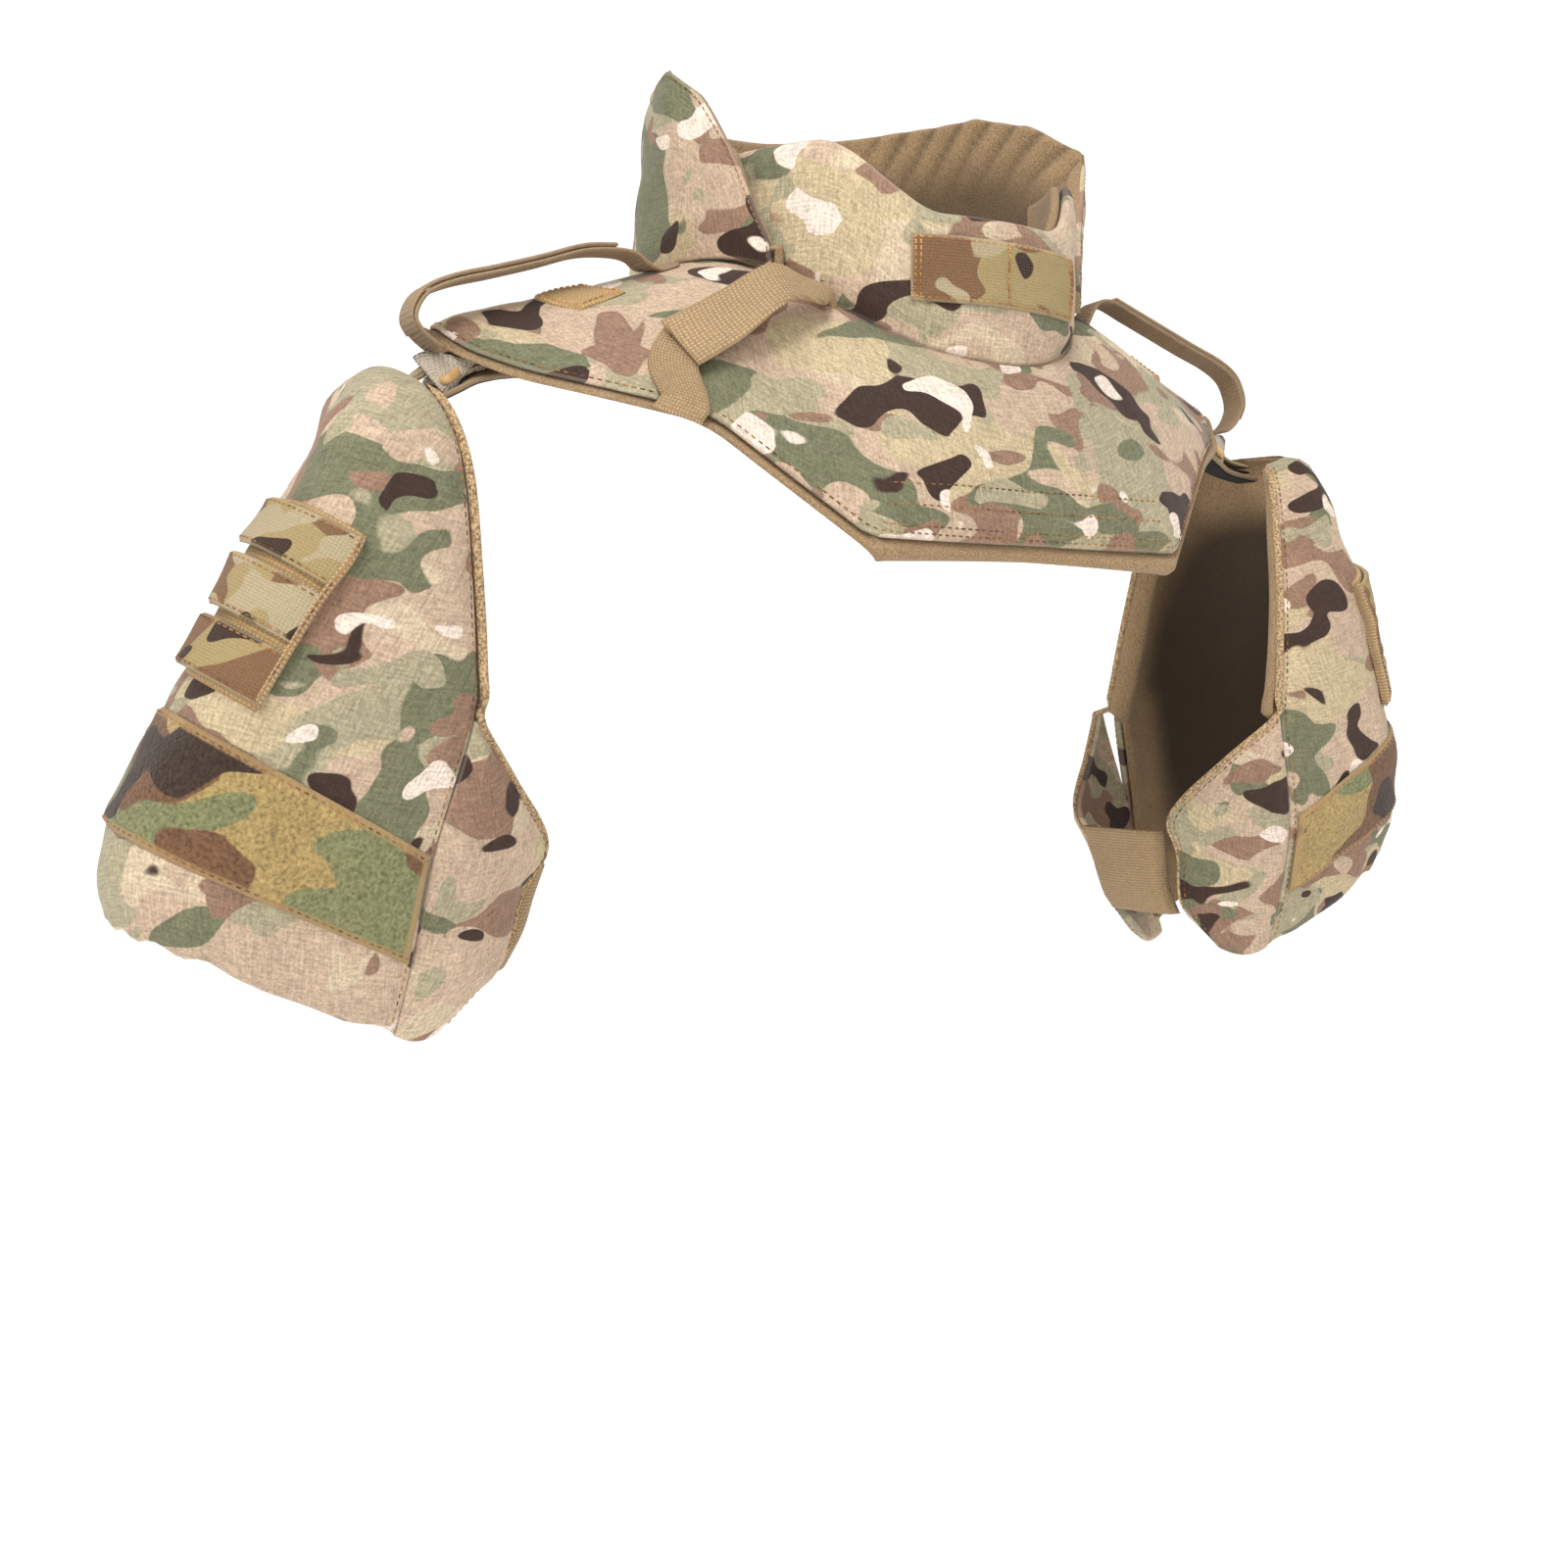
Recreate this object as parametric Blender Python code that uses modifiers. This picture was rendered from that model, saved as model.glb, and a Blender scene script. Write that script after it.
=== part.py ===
"""Padded shoulder and neck protector: bib, yoke, two collars and two arm shells.

Metres, +Z up. The wearer faces -Y, and the wearer's right is -X.
The origin is the middle of the neck opening, level with the base of the collars.
Angles round the neck are in degrees: 0 at the front, positive to the wearer's left, 180 at the back.
Every panel is a grid of points on a surface, with rows running down or outwards and columns across.
"""

from collections import namedtuple
from math import atan2, cos, degrees, radians, sin

import bpy
import numpy as np

# Thicknesses
COVER = 0.0050            # outer layer with its armour insert
COLLAR_COVER = 0.0060
LINING = 0.0045           # fleece lining under it
LAYER_GAP = 0.0004        # between layers that touch
WEBBING = 0.0018
TAB = 0.0028
WEBBING_LIFT = 0.0010     # webbing sewn flat stands this far off the cover
EDGE_THIN = 0.60          # the yoke thins to this share of its thickness at its outline
EDGE_THIN_FROM = 0.72     # share of the ray where the thinning starts

# Neck ring
YOKE_RING = 0.0945        # radius of the yoke's inner edge
SEAM_FRONT = -0.010       # height of that edge at the front
SEAM_SIDE = 0.040
SEAM_BACK = 0.034
COLLAR_RADIUS = 0.0950    # outer face of the front collar at its base, at most
COLLAR_ROOT = 0.0012      # gap between the yoke's inner edge and the front collar above it
BACK_ROOT = 0.0016        # gap between the yoke and the rear collar standing on it

# Yoke and bib outline: angle at the neck, outer corner, and how far the middle of the ray bulges
# Columns: angle, x, y, z, bulge_y, bulge_z
OUTLINE = (
    (0, 0.000, -0.116, -0.099, -0.010, 0.002),
    (38, 0.083, -0.121, -0.100, -0.008, 0.004),
    (58, 0.143, -0.081, -0.044, -0.005, 0.006),
    (76, 0.203, -0.031, -0.025, -0.002, 0.004),
    (85, 0.222, -0.009, -0.013, -0.001, 0.000),
    (91, 0.230, 0.003, -0.001, 0.000, -0.002),
    (98, 0.222, 0.024, -0.004, 0.001, 0.000),
    (110, 0.190, 0.058, -0.014, 0.002, 0.001),
    (124, 0.152, 0.089, -0.004, 0.004, 0.002),
    (142, 0.100, 0.113, 0.001, 0.005, 0.003),
    (180, 0.000, 0.127, 0.002, 0.006, 0.003),
)
CLOSURE_ANGLE = -58.0     # the bib meets the yoke here on the wearer's right
SHOULDER_SEAM = 91.0      # and here on the wearer's left
JOINT = 0.2               # half the gap of each joint, in degrees
CLOSURE_LEAN = 4.3        # degrees by which the closure's joint bows back between its ends
LEAN_REACH = 14.0         # and from the joint to where the panels' columns are straight again
LEAN_IN = (0.25, 0.55)    # shares of the ray between which the bow begins
LEAN_OUT = (0.72, 1.0)    # and ends
LIP = 0.045               # share of each ray by which the lining passes the cover
RAY_SHARES = (0.0, 0.06, 0.16, 0.32, 0.49, 0.66, 0.84)  # the lining starts at the second
PANEL_STEP = 13           # degrees between columns of the yoke, at most

# Front collar: half plan of its outer face, and its ends
FRONT_COLLAR_ENDS = (-78.0, 76.0)
FRONT_COLLAR_LOW = 0.0505     # height of the top edge at the throat
FRONT_COLLAR_HIGH = 0.083     # and at the sides
FRONT_COLLAR_RISE = (17, 52)  # degrees between which the edge rises
# Columns: angle, radius
COLLAR_PLAN = ((0, 0.0965), (27, 0.0980), (45, 0.0940), (60, 0.0925), (90, 0.0915))
COLLAR_PATCH_TURN = 27.0
COLLAR_PATCH_HEIGHTS = (0.0405, 0.0265, 0.0120)

# Rear collar, whose ends stand up as wings
# Columns: angle, radius_low, radius_high, z_high
REAR_COLLAR_LEFT = (
    (62, 0.1020, 0.1020, 0.038),
    (65, 0.1025, 0.1030, 0.050),
    (71, 0.1045, 0.1078, 0.080),
    (77, 0.1070, 0.1155, 0.103),
    (83, 0.1095, 0.1225, 0.115),
    (97, 0.1115, 0.1140, 0.131),
    (112, 0.1135, 0.1080, 0.139),
    (135, 0.1145, 0.1040, 0.136),
    (180, 0.1140, 0.1010, 0.126),
)
REAR_COLLAR_RIGHT = (
    (62, 0.1020, 0.1020, 0.038),
    (65, 0.1025, 0.1030, 0.050),
    (71, 0.1045, 0.1078, 0.080),
    (77, 0.1070, 0.1155, 0.103),
    (83, 0.1095, 0.1225, 0.114),
    (97, 0.1115, 0.1120, 0.116),
    (112, 0.1135, 0.1060, 0.118),
    (135, 0.1145, 0.1040, 0.121),
    (180, 0.1140, 0.1010, 0.126),
)
REAR_COLLAR_HALF = (62, 65, 68, 71, 77, 83, 90, 97, 104.5, 112, 123.5, 135, 150, 165)
REAR_LINING_DROP = 0.97   # the lining stops short of the yoke

# Closure tab: both edges, from its sewn end at the collar to its free end on the yoke
# Columns: upper_x, upper_y, upper_z, lower_x, lower_y, lower_z
CLOSURE_TAB_PATH = (
    (-0.0695, -0.0680, 0.0165, -0.0728, -0.0700, 0.0105),
    (-0.0775, -0.0710, 0.0188, -0.0815, -0.0790, 0.0085),
    (-0.0901, -0.0730, 0.0207, -0.0959, -0.0850, 0.0085),
    (-0.1075, -0.0740, 0.0237, -0.1109, -0.0900, 0.0038),
    (-0.1286, -0.0660, 0.0106, -0.1273, -0.0840, -0.0107),
    (-0.1488, -0.0560, -0.0015, -0.1422, -0.0750, -0.0215),
)
# Elastic under the tab: share of the ray, and the angle of each edge
# Columns: share, angle_back, angle_front
ELASTIC_ROWS = (
    (0.60, -68.2, -63.6),
    (0.73, -67.2, -62.6),
    (0.85, -65.6, -60.8),
    (0.955, -62.6, -59.2),
)

# Loop fabric on each shoulder
SHOULDER_PATCH_ANGLES = (79.5, 90.5)
SHOULDER_PATCH_SHARES = (0.44, 0.62)

# Raised strap on each shoulder, folded under the yoke's tip
LOOP_WIDTH = 0.0135
LOOP_MIDDLE = -0.007      # y of the strap's centre line
LOOP_TILT_LEFT = 3.5      # degrees by which each strap's front edge is raised
LOOP_TILT_RIGHT = 3.0
LOOP_ROOTS = (0.1140, 0.1225)  # x of the stretch sewn to the yoke
# Columns: x, z_left, z_right
SHOULDER_LOOP_PATH = (
    (0.1290, 0.0400, 0.0320),
    (0.1345, 0.0448, 0.0352),
    (0.1440, 0.0452, 0.0358),
    (0.1600, 0.0400, 0.0335),
    (0.1800, 0.0335, 0.0265),
    (0.2000, 0.0270, 0.0200),
    (0.2180, 0.0215, 0.0145),
    (0.2300, 0.0155, 0.0090),
    (0.2355, 0.0080, 0.0030),
    (0.2376, 0.0000, -0.0035),
    (0.2350, -0.0070, -0.0085),
    (0.2308, -0.0118, -0.0120),
    (0.2260, -0.0150, -0.0150),
)

# Arm shell rows, from the top to the hem, for the wearer's left
# Columns: z_in, z_out, x_in, x_out, y_front, y_back
ARM_ROWS = (
    (-0.031, -0.024, 0.240, 0.258, -0.030, 0.030),
    (-0.044, -0.030, 0.234, 0.266, -0.041, 0.044),
    (-0.066, -0.044, 0.230, 0.275, -0.049, 0.056),
    (-0.100, -0.062, 0.229, 0.284, -0.054, 0.067),
    (-0.140, -0.085, 0.228, 0.297, -0.056, 0.077),
    (-0.165, -0.107, 0.229, 0.311, -0.055, 0.082),
    (-0.219, -0.160, 0.244, 0.340, -0.049, 0.088),
    (-0.262, -0.205, 0.249, 0.362, -0.038, 0.086),
    (-0.292, -0.240, 0.252, 0.367, -0.026, 0.080),
)
ARM_SWEEP = 0.30          # how much narrower the shell gets per metre towards its back
ARM_SWEEP_FROM = -0.020   # y at which x_out is measured
ARM_SWEEP_DEPTH = 0.050   # a shell shallower than this is swept less
ARM_TURN = 115.0          # the shell turns this many degrees each way from its outer side
ARM_ROUND = 2.9           # exponent of the shell's section, 2 for an ellipse
ARM_CENTRE = 0.36         # share of the shell's depth where its section is widest
ARM_LEVELS = (0, 0.5, 1, 2, 3, 4, 5, 6, 7, 8)
ARM_TOP_THIN = 0.30       # the shell thins to this share at its top edge
ARM_FULL_FROM = 2.0       # row where it has its full thickness
BAND_LEVELS = (6.0, 6.5, 7.0)
BAND_TURN = 113.0

# Front gusset rows: row of the arm's seam, inner edge, bulge forward
# Columns: row, x, y, z, bulge
GUSSET_ROWS = (
    (5.0, 0.226, -0.050, -0.166, 0.000),
    (5.5, 0.203, -0.033, -0.190, 0.003),
    (6.0, 0.181, -0.018, -0.217, 0.005),
    (6.5, 0.190, -0.014, -0.237, 0.006),
    (7.2, 0.207, -0.010, -0.268, 0.005),
    (8.0, 0.233, -0.010, -0.299, 0.002),
)

# Front gusset's inner edge where the underarm elastic is sewn behind it
# Columns: x, y, z
UNDERARM_ROWS = (
    (0.186, -0.016, -0.226),
    (0.191, -0.013, -0.241),
    (0.199, -0.011, -0.256),
    (0.209, -0.010, -0.272),
)
# Plan of the elastic from there: (towards the arm, backwards)
UNDERARM_PLAN = ((0.0060, 0.0085), (-0.0030, 0.0085), (-0.0065, 0.0110), (-0.0075, 0.0180))

# Webbing patch on the arm: (row, turn) at the top and the bottom of each edge
PATCH_FRONT = ((3.66, -72.6), (5.75, -61.5))
PATCH_BACK = ((3.75, -13.0), (5.75, -16.0))
PATCH_ROWS = ((0.040, 0.500), (0.561, 0.786), (0.817, 0.982))  # equal heights on the arm
ROW_LIFT = 0.0014         # the webbing rows stand this far off their base

# Straps that hang each arm from the yoke's tip
# Columns: front_x, front_y, front_z, back_x, back_y, back_z
CAMO_STRAP = (
    (0.1980, -0.0070, -0.0165, 0.2000, 0.0150, -0.0075),
    (0.2072, -0.0070, -0.0176, 0.2113, 0.0150, -0.0105),
    (0.2162, -0.0065, -0.0193, 0.2180, 0.0140, -0.0150),
    (0.2234, -0.0060, -0.0205, 0.2237, 0.0120, -0.0178),
    (0.2277, -0.0050, -0.0220, 0.2281, 0.0100, -0.0205),
    (0.2320, -0.0045, -0.0250, 0.2325, 0.0095, -0.0240),
    (0.2400, -0.0045, -0.0280, 0.2405, 0.0095, -0.0275),
    (0.2515, -0.0045, -0.0295, 0.2515, 0.0095, -0.0295),
)
BLACK_STRAP = (
    (0.1780, -0.0130, -0.0100, 0.1800, 0.0080, -0.0025),
    (0.1890, -0.0130, -0.0205, 0.1910, 0.0080, -0.0095),
    (0.2013, -0.0130, -0.0235, 0.2025, 0.0070, -0.0150),
    (0.2106, -0.0130, -0.0261, 0.2070, 0.0060, -0.0205),
    (0.2188, -0.0130, -0.0304, 0.2128, 0.0050, -0.0256),
    (0.2275, -0.0120, -0.0345, 0.2235, 0.0040, -0.0310),
    (0.2390, -0.0100, -0.0362, 0.2380, 0.0040, -0.0350),
    (0.2525, -0.0090, -0.0372, 0.2525, 0.0040, -0.0370),
)
# Columns: x, y, z
BUCKLE_PATH = (
    (0.2180, -0.0120, -0.0232),
    (0.2240, -0.0120, -0.0272),
    (0.2240, 0.0090, -0.0258),
    (0.2180, 0.0090, -0.0222),
)
BUCKLE_ROD = 0.0014       # radius

# Columns: red, green, blue, roughness
PALETTE = {
    "camo_fabric": (0.42, 0.36, 0.24, 0.85),
    "camo_webbing": (0.36, 0.28, 0.16, 0.80),
    "tan_fleece": (0.40, 0.30, 0.17, 0.95),
    "tan_webbing": (0.48, 0.36, 0.20, 0.85),
    "loop_camo": (0.28, 0.26, 0.12, 0.95),
    "tan_plastic": (0.50, 0.36, 0.18, 0.45),
    "black_webbing": (0.02, 0.02, 0.02, 0.70),
}

# A surface gives a point for (row, column). Its reaches are how far each way a normal is measured.
Surface = namedtuple("Surface", "point row_reach column_reach")


# ---------------------------------------------------------------- numbers

def blend(a, b, share):
    return a + (b - a) * share


def smooth_step(low, high, value):
    share = np.clip((value - low) / (high - low), 0.0, 1.0)
    return share * share * (3.0 - 2.0 * share)


def smooth_rows(table, row):
    """Values of a table between its rows, on a curve that passes through each row."""
    table = np.asarray(table, float)
    low = int(np.clip(np.floor(row), 0, len(table) - 2))
    share = row - low
    before = table[max(low - 1, 0)]
    start, end = table[low], table[low + 1]
    after = table[min(low + 2, len(table) - 1)]
    slope_start, slope_end = (end - before) / 2, (after - start) / 2
    return ((2 * share**3 - 3 * share**2 + 1) * start + (share**3 - 2 * share**2 + share) * slope_start
            + (3 * share**2 - 2 * share**3) * end + (share**3 - share**2) * slope_end)


def wrapped(angle):
    return angle - 360 if angle > 180 else angle


def on_ring(angle, radius, height):
    return np.array([radius * sin(radians(angle)), -radius * cos(radians(angle)), height])


def mirrored(points):
    """The same grid on the wearer's right, with its columns turned so it still faces out."""
    return (points * np.array([-1.0, 1.0, 1.0]))[:, ::-1]


# ---------------------------------------------------------------- objects

def clear_scene():
    for thing in list(bpy.data.objects):
        bpy.data.objects.remove(thing)


def make_material(name):
    red, green, blue, roughness = PALETTE[name]
    material = bpy.data.materials.new(name)
    material.use_nodes = True
    shader = material.node_tree.nodes["Principled BSDF"]
    shader.inputs["Base Color"].default_value = (red, green, blue, 1)
    shader.inputs["Roughness"].default_value = roughness
    return material


def grid_quads(rows, columns):
    quads = []
    for i in range(rows - 1):
        for j in range(columns - 1):
            corner = i * columns + j
            quads.append((corner, corner + columns, corner + columns + 1, corner + 1))
    return quads


def add_mesh(name, points, faces, material, collection):
    mesh = bpy.data.meshes.new(name)
    mesh.from_pydata([tuple(p) for p in points], [], faces)
    mesh.materials.append(material)
    mesh.shade_smooth()
    thing = bpy.data.objects.new(name, mesh)
    collection.objects.link(thing)
    return thing


def sheet(name, points, thickness, material, collection):
    """A strap of even thickness. Its outer face is the given grid of points."""
    faces = grid_quads(*points.shape[:2])
    thing = add_mesh(name, points.reshape(-1, 3), faces, material, collection)
    wall = thing.modifiers.new("wall", "SOLIDIFY")
    wall.thickness = thickness
    wall.offset = -1


def loft(name, outer, inner, material, collection):
    """A closed panel lofted between its outer and its inner face.

    Both faces are cut along the same diagonals, so layers that touch keep their gap.
    """
    rows, columns = outer.shape[:2]
    count = rows * columns
    faces = []
    for a, b, c, d in grid_quads(rows, columns):
        faces += [(a, b, c), (a, c, d)]
    faces += [tuple(count + corner for corner in reversed(face)) for face in faces]
    top, bottom = list(range(columns)), list(range(count - columns, count))
    left, right = list(range(0, count, columns)), list(range(columns - 1, count, columns))
    rim = top + right[1:] + bottom[::-1][1:] + left[::-1][1:-1]
    for here, there in zip(rim, rim[1:] + rim[:1]):
        faces.append((here, there, count + there, count + here))
    add_mesh(name, np.concatenate([outer.reshape(-1, 3), inner.reshape(-1, 3)]), faces, material, collection)


def surface_grid(surface, rows, columns):
    """Points of a surface and its outward normals."""
    points, normals = [], []
    for r in rows:
        for c in columns:
            down = surface.point(r + surface.row_reach, c) - surface.point(r - surface.row_reach, c)
            across = surface.point(r, c + surface.column_reach) - surface.point(r, c - surface.column_reach)
            normal = np.cross(down, across)
            points.append(surface.point(r, c))
            normals.append(normal / np.linalg.norm(normal))
    shape = (len(rows), len(columns), 3)
    return np.array(points).reshape(shape), np.array(normals).reshape(shape)


def panel(name, surface, rows, columns, top, bottom, material, collection, side=1):
    """A closed panel that fills a surface's offsets from bottom to top."""
    points, normals = surface_grid(surface, rows, columns)
    top = np.broadcast_to(top, points.shape[:2])[..., None]
    bottom = np.broadcast_to(bottom, points.shape[:2])[..., None]
    outer, inner = points + normals * top, points + normals * bottom
    if side < 0:
        outer, inner = mirrored(outer), mirrored(inner)
    loft(name, outer, inner, material, collection)


def side_name(stem, side):
    return f"{stem}_left" if side > 0 else f"{stem}_right"


# ---------------------------------------------------------------- yoke and bib

def seam_height(angle):
    """Height of the yoke's inner edge at an angle round the neck."""
    side = abs(sin(radians(angle)))
    if abs(angle) < 90:
        return blend(SEAM_FRONT, SEAM_SIDE, side**2.4)
    return blend(SEAM_BACK, SEAM_SIDE, side**2)


def yoke_ray(angle):
    """Inner point, outer point and bulge of the ray at an angle round the neck."""
    table = np.array(OUTLINE)
    turn = abs(angle) if abs(angle) <= 180 else 360 - abs(angle)
    x, y, z, bulge_y, bulge_z = (np.interp(turn, table[:, 0], table[:, k]) for k in range(1, 6))
    side = 1 if sin(radians(angle)) >= 0 else -1
    inner = on_ring(angle, YOKE_RING, seam_height(wrapped(angle)))
    return inner, np.array([side * x, y, z]), np.array([0, bulge_y, bulge_z])


def yoke_point(share, angle):
    """A point of the yoke's top face, from its inner edge at 0 to its outline at 1."""
    inner, outer, bulge = yoke_ray(angle)
    return blend(inner, outer, share) + bulge * 4 * share * (1 - share)


YOKE = Surface(yoke_point, 0.05, 5.0)


def yoke_height(angle, radius):
    """Height of the yoke's top face where it is that far from the neck's axis."""
    inner, outer, _ = yoke_ray(angle)
    share = (radius - YOKE_RING) / (np.hypot(outer[0], outer[1]) - YOKE_RING)
    return yoke_point(np.clip(share, 0, 1), angle)[2]


def on_yoke(x, y):
    """Where the face of a strap lies when it is sewn to the yoke at x, y."""
    height = yoke_height(degrees(atan2(x, -y)), np.hypot(x, y))
    return x, y, height + WEBBING + WEBBING_LIFT


def corner_angles(start, end):
    """Angles from start to end that include each corner of the outline."""
    corners = {row[0] for row in OUTLINE}
    corners |= {-c for c in corners} | {360 - c for c in corners}
    marks = [start] + [c for c in sorted(corners) if start + 2 < c < end - 2] + [end]
    angles = []
    for low, high in zip(marks, marks[1:]):
        count = max(1, round((high - low) / PANEL_STEP))
        angles += [blend(low, high, k / count) for k in range(count)]
    return angles + [end]


def layer_point(share, angle):
    """The yoke's surface, with columns that bow with the closure's joint."""
    near = max(0.0, 1 - abs(wrapped(angle) - CLOSURE_ANGLE) / LEAN_REACH)
    bow = smooth_step(*LEAN_IN, share) * (1 - smooth_step(*LEAN_OUT, share))
    return yoke_point(share, angle - CLOSURE_LEAN * near * bow)


LAYERS = Surface(layer_point, 0.05, 5.0)


def edge_share(shares, angles):
    """Share of the full thickness at each point: the yoke and the bib's shoulder thin towards the outline."""
    thin = blend(1.0, EDGE_THIN, smooth_step(EDGE_THIN_FROM, 1.0, np.array(shares)))[:, None]
    turn = np.array([abs(wrapped(a)) for a in angles])[None, :]
    return blend(1.0, thin, smooth_step(50.0, 70.0, turn))


def build_layers(name, angles, collection, materials):
    """Cover and lining over one stretch of the yoke."""
    shares = list(RAY_SHARES) + [1 - LIP]
    depth = edge_share(shares, angles)
    panel(f"{name}_cover", LAYERS, shares, angles, 0.0, -COVER * depth, materials["camo_fabric"], collection)
    shares = list(RAY_SHARES[1:]) + [1 - LIP, 1.0]
    depth = edge_share(shares, angles)
    top = -COVER * depth - LAYER_GAP
    bottom = top - LINING * depth
    panel(f"{name}_lining", LAYERS, shares, angles, top, bottom, materials["tan_fleece"], collection)


def build_bib(collection, materials):
    angles = corner_angles(CLOSURE_ANGLE + JOINT, SHOULDER_SEAM - JOINT)
    build_layers("front_bib", angles, collection, materials)


def build_yoke(collection, materials):
    angles = corner_angles(SHOULDER_SEAM + JOINT, 360 + CLOSURE_ANGLE - JOINT)
    build_layers("yoke", angles, collection, materials)


def build_shoulder_patch(side, collection, materials):
    """Piece of loop fabric near the top of a shoulder."""
    angles = sorted(np.linspace(*SHOULDER_PATCH_ANGLES, 4) * side)
    shares = np.linspace(*SHOULDER_PATCH_SHARES, 4)
    name = side_name("shoulder_patch", side)
    top = WEBBING_LIFT + WEBBING
    panel(name, YOKE, shares, angles, top, WEBBING_LIFT, materials["tan_webbing"], collection)


# ---------------------------------------------------------------- collars

def collar_radius(angle):
    table = np.array(COLLAR_PLAN)
    return np.interp(abs(angle), table[:, 0], table[:, 1])


def front_collar_top(angle):
    return blend(FRONT_COLLAR_LOW, FRONT_COLLAR_HIGH, smooth_step(*FRONT_COLLAR_RISE, abs(angle)))


def front_collar_point(drop, angle):
    """A point of the front collar's outer face, from its top edge at 0 to its base at 1."""
    height = blend(front_collar_top(angle), seam_height(angle) + COLLAR_ROOT, drop)
    base = min(COLLAR_RADIUS, collar_radius(angle) - 0.0005)
    radius = blend(base, collar_radius(angle), smooth_step(0, 0.45, 1 - drop))
    return on_ring(angle, radius, height)


FRONT_COLLAR = Surface(front_collar_point, 0.05, 3.0)


def build_front_collar(collection, materials):
    angles = np.linspace(*FRONT_COLLAR_ENDS, 21)
    drops = np.linspace(0, 1, 6)
    fabric, fleece = materials["camo_fabric"], materials["tan_fleece"]
    panel("front_collar_cover", FRONT_COLLAR, drops, angles, 0.0, -COLLAR_COVER, fabric, collection)
    top = -COLLAR_COVER - LAYER_GAP
    panel("front_collar_lining", FRONT_COLLAR, drops, angles, top, top - LINING, fleece, collection)


def build_collar_patch(collection, materials):
    rows = []
    for height in COLLAR_PATCH_HEIGHTS:
        turns = np.linspace(-COLLAR_PATCH_TURN, COLLAR_PATCH_TURN, 7)
        rows.append([on_ring(a, collar_radius(a) + WEBBING_LIFT + WEBBING, height) for a in turns])
    sheet("collar_patch", np.array(rows), WEBBING, materials["camo_webbing"], collection)


def rear_collar_point(drop, angle):
    """A point of the rear collar's outer face, from its top edge at 0 to its base at 1."""
    angle = wrapped(angle)
    table = np.array(REAR_COLLAR_LEFT if angle >= 0 else REAR_COLLAR_RIGHT)
    radius_low, radius_high, z_high = (np.interp(abs(angle), table[:, 0], table[:, k]) for k in (1, 2, 3))
    base = yoke_height(angle, radius_low - COVER - LAYER_GAP - LINING) + BACK_ROOT
    return on_ring(angle, blend(radius_high, radius_low, drop), blend(z_high, base, drop))


REAR_COLLAR = Surface(rear_collar_point, 0.05, 2.0)


def build_rear_collar(collection, materials):
    angles = list(REAR_COLLAR_HALF) + [180] + [360 - a for a in reversed(REAR_COLLAR_HALF)]
    drops = np.linspace(0, 1, 6)
    fabric, fleece = materials["camo_fabric"], materials["tan_fleece"]
    panel("rear_collar_cover", REAR_COLLAR, drops, angles, 0.0, -COVER, fabric, collection)
    top = -COVER - LAYER_GAP
    drops = np.linspace(0, REAR_LINING_DROP, 6)
    panel("rear_collar_lining", REAR_COLLAR, drops, angles, top, top - LINING, fleece, collection)


# ---------------------------------------------------------------- closure and shoulder straps

def elastic_point(row, step):
    share, back, front = smooth_rows(ELASTIC_ROWS, row)
    return yoke_point(share, blend(back, front, step))


ELASTIC = Surface(elastic_point, 0.1, 0.1)


def build_closure(collection, materials):
    tab = np.array(CLOSURE_TAB_PATH).reshape(-1, 2, 3)
    sheet("closure_tab", tab, TAB, materials["tan_webbing"], collection)
    rows, steps = np.linspace(0, len(ELASTIC_ROWS) - 1, 5), np.linspace(0, 1, 4)
    top = WEBBING_LIFT + WEBBING
    panel("closure_elastic", ELASTIC, rows, steps, top, WEBBING_LIFT, materials["tan_webbing"], collection)


def build_shoulder_loop(side, collection, materials):
    """Raised strap along the top of a shoulder, folded under the yoke's tip."""
    path = np.array([(row[0], LOOP_MIDDLE, row[1] if side > 0 else row[2]) for row in SHOULDER_LOOP_PATH])
    tilt = radians(LOOP_TILT_LEFT if side > 0 else LOOP_TILT_RIGHT)
    half = np.array([0.0, cos(tilt), -sin(tilt)]) * LOOP_WIDTH / 2
    root = [[on_yoke(x, LOOP_MIDDLE - half[1]), on_yoke(x, LOOP_MIDDLE + half[1])] for x in LOOP_ROOTS]
    points = np.concatenate([np.array(root), np.stack([path - half, path + half], axis=1)])
    points = points if side > 0 else mirrored(points)
    sheet(side_name("shoulder_loop", side), points, WEBBING, materials["tan_webbing"], collection)


# ---------------------------------------------------------------- arm shells

def arm_point(row, turn):
    """A point of the left arm's outer face: row down it, degrees round it from its outer side."""
    z_in, z_out, x_in, x_out, y_front, y_back = smooth_rows(ARM_ROWS, row)
    x_mid = blend(x_in, x_out, ARM_CENTRE)
    c, s = cos(radians(turn)), sin(radians(turn))
    end = abs(cos(radians(ARM_TURN)))
    if c >= 0:
        x = x_mid + (x_out - x_mid) * c**(2 / ARM_ROUND)
    else:
        x = x_mid + (x_mid - x_in) * c / end
    y_mid, y_half = (y_front + y_back) / 2, (y_back - y_front) / 2
    y = y_mid + y_half * np.sign(s) * abs(s)**(2 / ARM_ROUND)
    share = (x - x_in) / (x_out - x_in)
    sweep = ARM_SWEEP * min(1.0, (x_out - x_in) / ARM_SWEEP_DEPTH)
    x -= sweep * (y - ARM_SWEEP_FROM) * max(share, 0)
    return np.array([x, y, blend(z_in, z_out, share)])


ARM = Surface(arm_point, 0.3, 12.0)


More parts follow.
